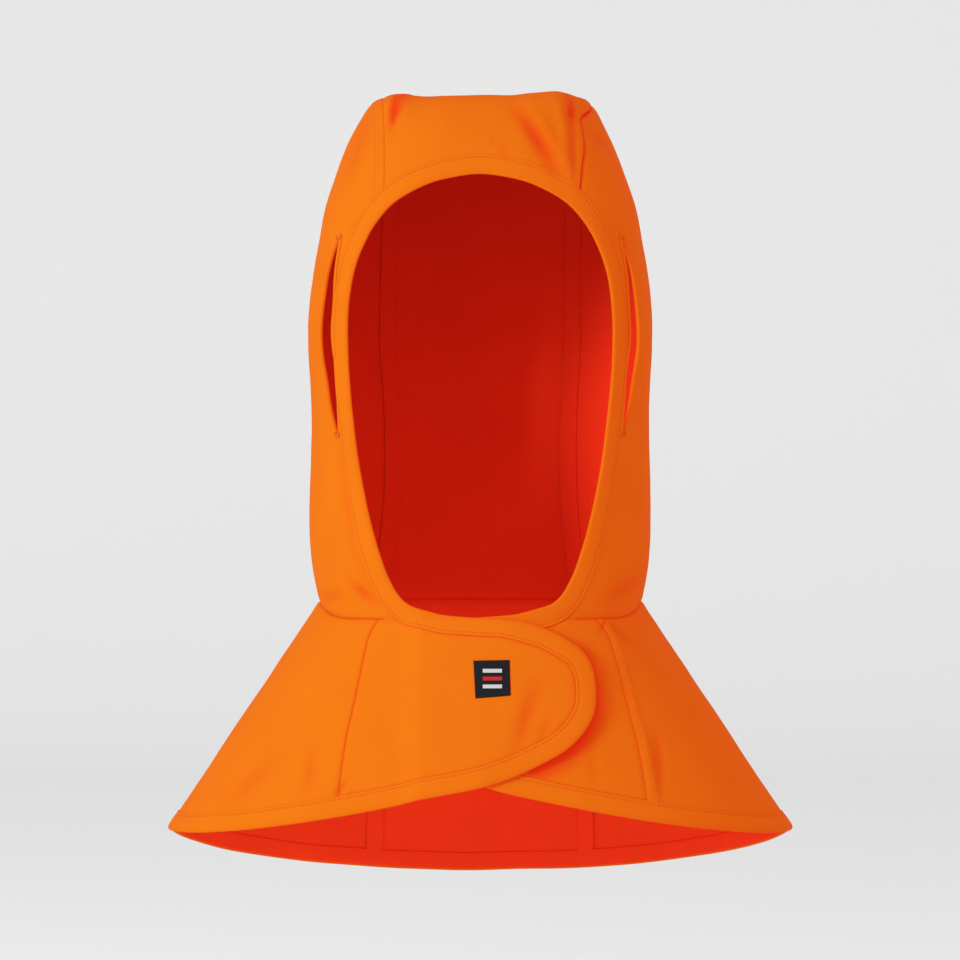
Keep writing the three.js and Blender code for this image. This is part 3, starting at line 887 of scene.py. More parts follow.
@dataclass(frozen=True)
class ClothFinish:
    """Matte twill in a bright dye, with a painted glow: a steady red emission that stands partly for the
    fluorescent dye's brightness and partly for light, and glows the same in shade.
    """

    name: str
    colour: tuple[float, float, float]
    # Painted shade colours: one reached in deep folds and cast shadows, one in the darkest seam lines.
    fold_shade_colour: tuple[float, float, float]
    seam_shade_colour: tuple[float, float, float]
    glow_strength: float
    glow: tuple[float, float, float] = (1.0, 0.004, 0.002)
    seam_glow: float = 0.7
    twill_period: float = 1.0
    roughness: float = 0.9
    sheen: float = 0.03
    variation: float = 0.06

    def build(self) -> bpy.types.Material:
        """Makes the material."""
        board = NodeBoard(self.name)
        grain = board.grain()
        where = board.add("ShaderNodeTexCoord").outputs["Object"]
        shade = board.add("ShaderNodeAttribute", attribute_name=SHADE).outputs["Fac"]
        broad = board.noise(where, 26, 3)
        slub = board.noise(grain, 0.9, 4)
        # Painted shade: the shade attribute darkens and reddens the cloth in folds, along seams, in cast
        # shadows and inside the hood.
        base = board.ramp(shade, [(0.0, self.colour), (0.5, self.fold_shade_colour), (1.0, self.seam_shade_colour)])
        tone = board.math("MULTIPLY_ADD", broad, self.variation * 2, 1 - self.variation)
        fine = board.math("MULTIPLY_ADD", slub, self.variation, 1 - self.variation / 2)
        level = board.math("MULTIPLY", tone, fine)
        toned = board.add("ShaderNodeVectorMath", {0: base}, operation="SCALE")
        board.put(toned, 3, level)
        wave = board.add(
            "ShaderNodeTexWave",
            {"Vector": grain, "Scale": math.pi / (10 * self.twill_period), "Distortion": 0.6, "Detail": 2,
             "Detail Scale": 2},
            wave_type="BANDS",
            bands_direction="DIAGONAL",
        ).outputs["Fac"]
        height = board.math("MULTIPLY_ADD", slub, 0.7, wave)
        bump = board.add("ShaderNodeBump", {"Height": height, "Distance": 0.00009, "Strength": 0.25})
        uneven = board.noise(where, 190, 3)
        wide_bump = board.add(
            "ShaderNodeBump",
            {"Height": uneven, "Distance": 0.00035, "Strength": 0.5, "Normal": bump.outputs[0]},
        )
        shader = board.shader
        board.put(shader, "Base Color", toned.outputs[0])
        board.put(shader, "Normal", wide_bump.outputs[0])
        board.put(shader, "Roughness", board.math("MULTIPLY_ADD", slub, 0.12, self.roughness - 0.06))
        shader.inputs["Sheen Weight"].default_value = self.sheen
        shader.inputs["Sheen Roughness"].default_value = 0.6
        shader.inputs["Sheen Tint"].default_value = (*self.colour, 1)
        shader.inputs["IOR"].default_value = 1.12
        shader.inputs["Specular IOR Level"].default_value = 0.3
        # Painted glow: a steady emission that lifts the red whatever the light, dimmed only where the
        # painted seam shade is deepest.
        dim_glow = tuple(self.seam_glow * part for part in self.glow)
        glow = board.ramp(shade, [(0, self.glow), (0.5, self.glow), (1, dim_glow)])
        board.put(shader, "Emission Color", glow)
        shader.inputs["Emission Strength"].default_value = self.glow_strength
        return board.material


@dataclass(frozen=True)
class ThreadFinish:
    """Twisted sewing thread."""

    name: str
    colour: tuple[float, float, float]
    glow: tuple[float, float, float] = (1.0, 0.004, 0.002)
    glow_strength: float = 0.36

    def build(self) -> bpy.types.Material:
        """Makes the material."""
        board = NodeBoard(self.name)
        where = board.add("ShaderNodeTexCoord").outputs["Object"]
        twist = board.add("ShaderNodeTexWave", {"Vector": where, "Scale": 420}, bands_direction="DIAGONAL")
        # Painted shade: the twist's grooves are darker.
        dark = tuple(0.6 * part for part in self.colour)
        tone = board.ramp(twist.outputs[1], [(0.2, dark), (0.8, self.colour)])
        board.put(board.shader, "Base Color", tone)
        board.put(board.shader, "Roughness", board.math("MULTIPLY_ADD", board.noise(where, 900), 0.2, 0.6))
        board.shader.inputs["Specular IOR Level"].default_value = 0.15
        # Painted glow: a steady red emission, whatever the light.
        board.shader.inputs["Emission Color"].default_value = (*self.glow, 1)
        board.shader.inputs["Emission Strength"].default_value = self.glow_strength
        return board.material


@dataclass(frozen=True)
class LabelFinish:
    """Fine woven label in black, with three plain woven bars."""

    name: str
    ground: tuple[float, float, float] = (0.006, 0.006, 0.007)
    pale: tuple[float, float, float] = (0.42, 0.42, 0.43)
    warm: tuple[float, float, float] = (0.38, 0.016, 0.02)
    bar_height: float = 2.2
    bar_gap: float = 4.6
    bar_half_width: float = 5.6

    def build(self) -> bpy.types.Material:
        """Makes the material."""
        board = NodeBoard(self.name)
        grain = board.grain()
        split = board.add("ShaderNodeSeparateXYZ", {0: grain})
        across, up = split.outputs[0], split.outputs[1]
        weave = board.add("ShaderNodeTexWave", {"Vector": grain, "Scale": 0.55}, bands_direction="Y")
        weave = weave.outputs[1]
        within = board.math("LESS_THAN", board.math("ABSOLUTE", across), self.bar_half_width)
        colour = board.mixed(weave, (*self.ground, 1), (*(1.8 * part for part in self.ground), 1))
        for centre, tint in ((self.bar_gap, self.pale), (0.0, self.warm), (-self.bar_gap, self.pale)):
            off = board.math("ABSOLUTE", board.math("SUBTRACT", up, centre))
            bar = board.math("MULTIPLY", board.math("LESS_THAN", off, self.bar_height / 2), within)
            colour = board.mixed(bar, colour, (*tint, 1))
        bump = board.add("ShaderNodeBump", {"Height": weave, "Distance": 0.00008, "Strength": 0.5})
        board.put(board.shader, "Base Color", colour)
        board.put(board.shader, "Normal", bump.outputs[0])
        board.put(board.shader, "Roughness", board.math("MULTIPLY_ADD", weave, 0.15, 0.75))
        board.shader.inputs["Specular IOR Level"].default_value = 0.1
        return board.material


@dataclass(frozen=True)
class PileFinish:
    """Hook-and-loop pile of the hidden closure."""

    name: str
    colour: tuple[float, float, float] = (0.05, 0.05, 0.055)

    def build(self) -> bpy.types.Material:
        """Makes the material."""
        board = NodeBoard(self.name)
        where = board.add("ShaderNodeTexCoord").outputs["Object"]
        loops = board.add("ShaderNodeTexVoronoi", {"Vector": where, "Scale": 1100}).outputs[0]
        # Painted shade: darker between the loops.
        dark = tuple(0.4 * part for part in self.colour)
        bump = board.add("ShaderNodeBump", {"Height": loops, "Distance": 0.0004, "Strength": 0.8})
        board.put(board.shader, "Base Color", board.ramp(loops, [(0.1, self.colour), (0.7, dark)]))
        board.put(board.shader, "Normal", bump.outputs[0])
        board.put(board.shader, "Roughness", board.math("MULTIPLY_ADD", loops, 0.1, 0.85))
        return board.material


class Wardrobe:
    """All the finishes, made once."""

    def __init__(self) -> None:
        """Makes each material."""
        self.outer = ClothFinish(
            "orange_twill", (0.22, 0.112, 0.003), (0.21, 0.034, 0.003), (0.09, 0.018, 0.002), 0.53
        ).build()
        # The reverse is a darker, redder copy of the outer cloth with almost no glow: painted shade for the
        # inside of the hood, its seam tapes and the binding's inner fold.
        self.reverse = ClothFinish(
            "orange_twill_reverse", (0.86, 0.046, 0.011), (0.50, 0.018, 0.007), (0.30, 0.009, 0.005), 0.05
        ).build()
        self.thread = ThreadFinish("seam_thread", (0.25, 0.085, 0.003)).build()
        self.label = LabelFinish("woven_label").build()
        self.pile = PileFinish("closure_pile").build()


def settled(made: bpy.types.Object, node: str | None = None) -> bpy.types.Object:
    """Sets a piece on the root body, in place of a node if it stands for one.

    Args:
        made: the piece.
        node: the solid that it stands for, if any.

    Returns:
        The same piece.
    """
    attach(made, "root")
    if node is not None:
        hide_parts(node)
    return made


@dataclass
class Cloth:
    """Turns points and faces into Blender pieces."""

    wardrobe: Wardrobe

    def piece(
        self,
        name: str,
        points: Array,
        faces: Sequence[Sequence[int]],
        grain: Array,
        shade: Array | None = None,
        reverse: Array | None = None,
        materials: Sequence[bpy.types.Material] | None = None,
        caps: int = 0,
    ) -> bpy.types.Object:
        """Makes one piece.

        Args:
            name: its plain name.
            points: its corners in millimetres.
            faces: corner numbers of each face.
            grain: grain coordinates of each corner, in millimetres.
            shade: painted shade of each corner, from folds, seams, cast shadows and the hood's inside.
            reverse: which faces show the cloth's reverse.
            materials: its materials, or the cloth's own two.
            caps: how many of the last faces close an end and stay flat.

        Returns:
            The new object.
        """
        mesh = bpy.data.meshes.new(name)
        mesh.from_pydata((points * MM).tolist(), [], [list(map(int, face)) for face in faces])
        mesh.update()
        layer = mesh.uv_layers.new(name=GRAIN)
        corner = np.zeros(len(mesh.loops), int)
        mesh.loops.foreach_get("vertex_index", corner)
        layer.data.foreach_set("uv", grain[corner].astype(np.float32).ravel())
        tone = mesh.attributes.new(SHADE, "FLOAT", "POINT")
        tones = np.zeros(len(points)) if shade is None else shade
        tone.data.foreach_set("value", tones.astype(np.float32))
        for material in materials or (self.wardrobe.outer, self.wardrobe.reverse):
            mesh.materials.append(material)
        if reverse is not None:
            mesh.polygons.foreach_set("material_index", reverse.astype(np.int32))
        rounded = np.arange(len(mesh.polygons)) < len(mesh.polygons) - caps
        mesh.polygons.foreach_set("use_smooth", rounded)
        made = bpy.data.objects.new(name, mesh)
        bpy.context.scene.collection.objects.link(made)
        return made

    def tube(self, name: str, grid: Array, grain: Array, shade: Array, reverse: range = range(0),
             closed: bool = False) -> bpy.types.Object:
        """Makes one piece from cross-sections.

        Args:
            name: its plain name.
            grid: its points in millimetres, by section and place round it.
            grain: their grain coordinates.
            shade: painted shade of each point, from folds, seams, cast shadows and the hood's inside.
            reverse: the places round a section that show the cloth's reverse.
            closed: whether the last section joins the first.

        Returns:
            The new object.
        """
        count, width = grid.shape[:2]
        caps = 0 if closed else 2
        faces = tube_faces(count, width, closed)
        sides = len(faces) - caps
        points = grid.reshape(-1, 3)
        centred = points - points.mean(0)
        a, b, c, d = (centred[corner] for corner in np.array(faces[:sides]).T)
        if (a * (np.cross(b, c) + np.cross(c, d))).sum() < 0:
            faces = [face[::-1] for face in faces]
        shown = np.concatenate([np.isin(np.arange(sides) % width, reverse), np.zeros(caps, bool)])
        return self.piece(name, points, faces, grain.reshape(-1, 2), shade.ravel(), shown, caps=caps)


class SeamKind(Enum):
    """How cloth stands beside a seam, as distances from it and heights in millimetres."""

    LAPPED = ((0, 0.0), (0.8, 0.62), (1.8, 0.4), (3.2, 0.8), (5.2, 0.8), (6.6, 0.36), (7.6, 0.5),
              (9, 0.1), (12, 0))
    PLAIN = ((0, -0.75), (0.8, -0.3), (1.8, -0.05), (3.2, 0.12), (6, 0.05), (9, 0))
    LEDGE = ((0, -0.35), (0.8, -0.15), (1.8, 0), (9, 0))
    # SHADOW keeps the cloth flat and carries only a painted shadow.
    SHADOW = ((0, 0), (9, 0))


@dataclass(frozen=True)
class Seam:
    """A seam, the inner edge of a binding or the edge of a cast shadow, that shapes the cloth beside it and
    darkens it with painted shade.
    """

    points: Array
    kind: SeamKind = SeamKind.PLAIN
    shade: float = 0.7
    shade_reach: float = 0.65
    step: float = 0.4
    depth: float = 1

    def away(self, points: Array) -> Array:
        """Distance of each point from the seam."""
        return distance_to(points, spaced(self.points, self.step))

    def height_at(self, away: Array) -> Array:
        """Height of the cloth at distances from the seam."""
        rows = np.array(self.kind.value)
        return self.depth * np.interp(away, rows[:, 0], rows[:, 1])

    def shade_at(self, away: Array) -> Array:
        """Shade of the cloth at distances from the seam."""
        return self.shade * np.exp(-((away / self.shade_reach) ** 2))


@dataclass
class Panel:
    """One cut panel of cloth: an outline on a flat map, laid over the form."""

    name: str
    outline: Array
    place: Callable[[Array], Places]
    node: str
    holes: Sequence[Array] = ()
    lift: Callable[[Array], Array] = no_lift
    spacing: float = 2.3
    wall: float = 1.2
    edge_round: float = 0.42
    edge_rows: tuple[float, ...] = (0.8, 1.8, 3.2, 5.2, 6.6, 7.6, 8.8)
    seams: Sequence[Seam] = ()
    sample_step: float = 1.7
    row_room: float = 0.55
    crowd: float = 0.9

    def flat_points(self) -> tuple[Array, list[Array]]:
        """Chooses the points of the flat map: its edges, rows beside them and a grid between."""
        loops = [spaced(loop, self.sample_step, closed=True) for loop in (self.outline, *self.holes)]
        edge = np.vstack(loops)
        extra = [moved_in(loop, row if index == 0 else -row)
                 for index, loop in enumerate(loops) for row in self.edge_rows]
        low, high = self.outline.min(0), self.outline.max(0)
        grid_x = np.arange(low[0], high[0], self.spacing)
        grid_y = np.arange(low[1], high[1], self.spacing * 0.87)
        x, y = np.meshgrid(grid_x, grid_y)
        x = x + (np.arange(len(grid_y)) % 2)[:, None] * self.spacing / 2
        extra.append(np.stack([x.ravel(), y.ravel()], 1))
        return np.vstack([edge, self.apart(edge, extra)]), loops

    def apart(self, edge: Array, rows: list[Array]) -> Array:
        """Keeps the points that are inside the panel and not too near one another."""
        taken = edge
        kept = []
        for number, row in enumerate(rows):
            last = number == len(rows) - 1
            good = inside(row, self.outline)
            for hole in self.holes:
                good &= ~inside(row, hole)
            row = row[good]
            if not len(row):
                continue
            row = row[distance_to(row, taken) > (self.spacing * 0.62 if last else self.row_room)]
            if not last and len(row):
                row = self.thinned(row)
            kept.append(row)
            taken = np.vstack([taken, row])
        return np.vstack(kept)

    def thinned(self, row: Array) -> Array:
        """Drops points of one row that crowd each other at a tight corner."""
        first: dict[tuple[int, ...], Array] = {}
        for point in row:
            first.setdefault(tuple((point // self.crowd).astype(int)), point)
        return np.array(list(first.values()))

    def triangles(self, points: Array, loops: list[Array]) -> tuple[Array, Array]:
        """Joins the flat points with triangles that keep the edges."""
        edges, start = [], 0
        for loop in loops:
            count = len(loop)
            edges += [(start + i, start + (i + 1) % count) for i in range(count)]
            start += count
        keep_shape, merge_distance = 1, 1e-6
        made = delaunay_2d_cdt([Vector(p) for p in points], edges, [], keep_shape, merge_distance)
        flat = np.array([tuple(v) for v in made[0]])
        faces = np.array([f for f in made[2] if len(f) == 3])
        centre = flat[faces].mean(1)
        good = np.ones(len(faces), bool)
        for loop in loops[1:]:
            good &= ~inside(centre, loop)
        a, b, c = (flat[faces[:, k]] for k in range(3))
        size = np.cross(b - a, c - a)
        faces = np.where((size < 0)[:, None], faces[:, ::-1], faces)
        return flat, faces[good]

    def edge_loops(self, faces: Array) -> list[list[int]]:
        """Follows the free edges of the triangles round each loop."""
        pairs = np.vstack([faces[:, [0, 1]], faces[:, [1, 2]], faces[:, [2, 0]]])
        known = {(int(a), int(b)) for a, b in pairs}
        follow = {a: b for a, b in known if (b, a) not in known}
        loops = []
        while follow:
            start, here = follow.popitem()
            loop = [start]
            while here != start:
                loop.append(here)
                here = follow.pop(here)
            loops.append(loop)
        return loops

    def beside_seams(self, points: Array) -> tuple[Array, Array]:
        """Height and shade that the seams give the cloth beside them."""
        height, shade = np.zeros(len(points)), np.zeros(len(points))
        for seam in self.seams:
            away = seam.away(points)
            height += seam.height_at(away)
            shade = np.maximum(shade, seam.shade_at(away))
        return height, shade

    def build(self, cloth: Cloth, relief: Relief) -> bpy.types.Object:
        """Makes the panel's piece.

        Args:
            cloth: what turns points into a piece.
            relief: the folds of the cloth.

        Returns:
            The new object, riding on the root body in place of its node.
        """
        points, loops = self.flat_points()
        flat, faces = self.triangles(points, loops)
        places = self.place(flat)
        seam_height, seam_shade = self.beside_seams(places.points)
        base = relief.height_at(places) + self.lift(places.points) + seam_height
        outer, inner = places.lifted(base), places.lifted(base - self.wall)
        a, b, c = (outer[faces[:, k]] for k in range(3))
        if (np.cross(b - a, c - a) * places.out[faces[:, 0]]).sum(1).mean() < 0:
            faces = faces[:, ::-1]
        count = len(flat)
        rim_points, rim_faces, rim_grain, rim_shade = [], [], [], []
        start = 2 * count
        shade = np.maximum(relief.shade_at(places), seam_shade)
        for loop in self.edge_loops(faces):
            ids = np.array(loop)
            away = unit(np.cross(chords(outer[ids]), places.out[ids]))
            size = len(ids)
            for i in range(size):
                j = (i + 1) % size
                rim_faces.append((ids[i], start + i, start + j, ids[j]))
                rim_faces.append((start + i, count + ids[i], count + ids[j], start + j))
            rim_points.append((outer[ids] + inner[ids]) / 2 + away * self.wall * self.edge_round)
            rim_grain.append(flat[ids])
            rim_shade.append(shade[ids])
            start += size
        all_faces = [*faces.tolist(), *(faces[:, ::-1] + count).tolist(), *rim_faces]
        shown = np.full(len(all_faces), Face.OUTER.value)
        shown[len(faces) : 2 * len(faces)] = Face.REVERSE.value
        made = cloth.piece(
            self.name,
            np.vstack([outer, inner, *rim_points]),
            all_faces,
            np.vstack([flat, flat, *rim_grain]),
            # The reverse also takes the painted shade of the hood's inside.
            np.concatenate([shade, np.maximum(shade, relief.inner_shade_at(places.points)), *rim_shade]),
            shown,
        )
        return settled(made, self.node)


@dataclass
class Strip:
    """A long narrow piece that follows a line over the form, such as a bound edge or a seam tape."""

    name: str
    form: HoodForm
    line: Places
    profile: Array
    closed: bool = False
    flip: bool = False
    reverse: bool = False
    walk_step: float = 4.0

    def headings(self) -> Array:
        """Directions over the cloth, square to the line."""
        points = self.line.points
        run = chords(points) if self.closed else np.gradient(points, axis=0)
        return unit(np.cross(self.line.out, unit(run))) * (-1 if self.flip else 1)

    def beside(self, distance: float) -> bool:
        """Whether a distance is so small that it isn't walked over the form."""
        return -1 < distance <= 0

    def across(self, distance: float) -> Places:
        """The line moved over the cloth by a distance."""
        heading = self.headings()
        if self.beside(distance):
            return Places(self.line.points + heading * distance, self.line.out)
        steps = max(int(math.ceil(abs(distance) / self.walk_step)), 1)
        here = self.line
        for _ in range(steps):
            here = self.form.nearest(here.points + heading * (distance / steps))
            heading = unit(heading - here.out * (heading * here.out).sum(1, keepdims=True))
        return here

    def sections(self, relief: Relief, lift: Callable[[Array], Array] = no_lift) -> tuple[Array, Array]:
        """Works out every cross-section.

        Args:
            relief: the folds of the cloth.
            lift: how far points of the strip stand off the form.

        Returns:
            Points by section and profile place, and the grain coordinates.
        """
        rows, grains = [], []
        known: dict[float, tuple[Places, Array]] = {}
        length = run_along(self.line.points)
        for across, height in self.profile:
            distance = round(float(across), 3)
            if distance not in known:
                places = self.across(distance)
                base = relief.height_at(self.line if self.beside(distance) else places)
                known[distance] = places, base + lift(places.points)
            places, base = known[distance]
            rows.append(places.lifted(base + height))
            grains.append(np.stack([length, np.full(len(length), across)], 1))
        return np.stack(rows, 1), np.stack(grains, 1)

    def build(self, cloth: Cloth, relief: Relief) -> bpy.types.Object:
        """Makes the strip's piece.

        Args:
            cloth: what turns points into a piece.
            relief: the folds of the cloth.

        Returns:
            The new object, riding on the root body.
        """
        grid, grain = self.sections(relief)
        points = grid.reshape(-1, 3)
        # A strip that shows the reverse, such as a seam tape, takes the painted shade of the hood's inside.
        shade = relief.inner_shade_at(points) if self.reverse else np.zeros(len(points))
        shown = range(grid.shape[1] if self.reverse else 0)
        return settled(cloth.tube(self.name, grid, grain, shade, shown, self.closed))


def binding_profile() -> Array:
    """Across and height of a folded edge binding, open inside where it holds the cloth."""
    return np.array([
        (12.0, 0.02), (12.02, 0.42), (11.7, 0.66), (11.0, 0.68), (10.5, 0.5), (10.0, 0.44), (9.5, 0.56),
        (8.6, 0.78), (6.0, 0.86), (3.0, 0.84), (1.2, 0.74), (0.1, 0.4), (-0.42, -0.1), (-0.55, -0.65),
        (-0.42, -1.2), (0.1, -1.7), (1.2, -2.04), (3.0, -2.14), (6.0, -2.16), (9.0, -2.12), (11.6, -2.0),
        (12.0, -1.7), (12.0, -1.32), (9.0, -1.28), (3.0, -1.28), (1.1, -1.24), (0.75, -0.6), (1.1, 0.0),
        (3.0, 0.04), (9.0, 0.04),
    ])


def tape_profile(width: float) -> Array:
    """Across and height of the flat-felled allowance inside a seam."""
    half = width / 2
    return np.array([
        (-half, -1.25), (-half, -1.75), (-half + 0.5, -2.0), (-half + 1.4, -1.9), (0.0, -2.05),
        (half - 1.4, -1.9), (half - 0.5, -2.0), (half, -1.75), (half, -1.25), (0.0, -1.22),
    ])


@dataclass
class Stitching:
    """A run of short stitches laid on the cloth."""

    name: str
    wardrobe: Wardrobe
    pitch: float = 2.7
    length: float = 1.55
    radius: float = 0.26
    sides: int = 6
    flatness: float = 0.7

    def build(self, runs: Sequence[Places]) -> bpy.types.Object:
        """Makes all the stitches of one piece.

        Args:
            runs: the lines that they follow, already on the face of the cloth.

        Returns:
            The new object.
        """
        points, faces = [], []
        rings = ((-0.5, 0.15), (-0.36, 0.8), (0.0, 1.0), (0.36, 0.8), (0.5, 0.15))
        one = tube_faces(len(rings), self.sides)
        for run in runs:
            even = run.spaced(self.pitch)
            way = unit(np.gradient(even.points, axis=0))
            aside = unit(np.cross(way, even.out))
            for spot, along, up, side in zip(even.points, way, even.out, aside):
                faces += [tuple(len(points) + k for k in face) for face in one]
                for place, share in rings:
                    for k in range(self.sides):
                        turn = WHOLE_TURN * k / self.sides
                        round_it = side * math.cos(turn) + up * math.sin(turn) * self.flatness
                        points.append(spot + along * self.length * place + round_it * self.radius * share)
        mesh = bpy.data.meshes.new(self.name)
        mesh.from_pydata((np.array(points) * MM).tolist(), [], faces)
        mesh.materials.append(self.wardrobe.thread)
        mesh.polygons.foreach_set("use_smooth", np.ones(len(mesh.polygons), bool))
        mesh.update()
        made = bpy.data.objects.new(self.name, mesh)
        bpy.context.scene.collection.objects.link(made)
        return settled(made)


class OuterFace:
    """The finished faces of pieces, for laying stitches and the label on them."""

    def __init__(self, *pieces: bpy.types.Object) -> None:
        """Takes in finished pieces."""
        self.trees = []
        for piece in pieces:
            points = [v.co / MM for v in piece.data.vertices]
            self.trees.append(BVHTree.FromPolygons(points, [list(f.vertices) for f in piece.data.polygons]))

    def landed(self, places: Places, height: float, reach: float = 9.0) -> Places:
        """Drops places onto the highest face below them.

        Args:
            places: where the run should lie.
            height: how far above the face it stays.
            reach: how far out of the cloth each drop starts.

        Returns:
            The places on the face.
        """
        made = []
        for point, out in zip(places.points, places.out):
            start, best = point + out * reach, None
            for tree in self.trees:
                spot, _, _, far = tree.ray_cast(Vector(start), Vector(-out), reach * 2)
                if spot is not None and (best is None or far < best[1]):
                    best = (np.array(spot), far)
            made.append(best[0] + out * height if best else point)
        return Places(np.array(made), places.out)


@dataclass
class TurnedMap:
    """A flat map of the form: turn about the upright axis across, and length down the cloth upwards."""

    form: HoodForm
    radius: float

    def __post_init__(self) -> None:
        """Measures the length down the cloth at each level."""
        steps = np.linalg.norm(np.diff(self.form.grid, axis=0), axis=2).mean(1)
        self.run = np.concatenate([[0], np.cumsum(steps)])

    def flat(self, rows: Array) -> Array:
        """Flat points of rows of level and angle."""
        down = np.interp(rows[:, 0], self.form.levels, self.run)
        return np.stack([rows[:, 1] * self.radius, -down], 1)

    def place(self, flat: Array) -> Places:
        """Places of flat points on the form."""
        level = np.interp(-flat[:, 1], self.run, self.form.levels)
        return self.form.at(level, flat[:, 0] / self.radius)


@dataclass
class CrownMap:
    """A flat map of the crown panel: distance from the middle, and length along its middle line."""

    form: HoodForm
    reach: float = 40
    steps: int = 900

    def __post_init__(self) -> None:
        """Draws the middle line from the brow over the crown to the nape."""
        levels = np.linspace(0.004, 1.06, self.steps)
        front = self.form.point(levels, np.full(self.steps, FRONT))[::-1]
        back = self.form.point(levels, np.full(self.steps, BACK))
        self.middle = spaced(np.vstack([front, back]), 1.0)
        run = np.gradient(self.middle, axis=0)
        self.out = unit(np.stack([np.zeros(len(run)), -run[:, 2], run[:, 1]], 1))
        self.run = np.arange(len(self.middle), dtype=float)
        self.top = float(np.argmax(self.middle[:, 2]))

    def place(self, flat: Array) -> Places:
        """Places of flat points on the form."""
        spot = read_at(flat[:, 1], self.run, self.middle)
        out = unit(read_at(flat[:, 1], self.run, self.out))
        spot[:, 0] = flat[:, 0]
        return self.form.seen(spot + out * self.reach, -out)

    def end(self, x: Array, z: Array, back: bool) -> Array:
        """Length along the middle line at which the panel reaches height z."""
        low = np.full(len(x), self.top if back else 0.0)
        high = np.full(len(x), self.run[-1] if back else self.top)
        return halved(low, high, 16,
                      lambda run: (self.place(np.stack([x, run], 1)).points[:, 2] > z) == back)


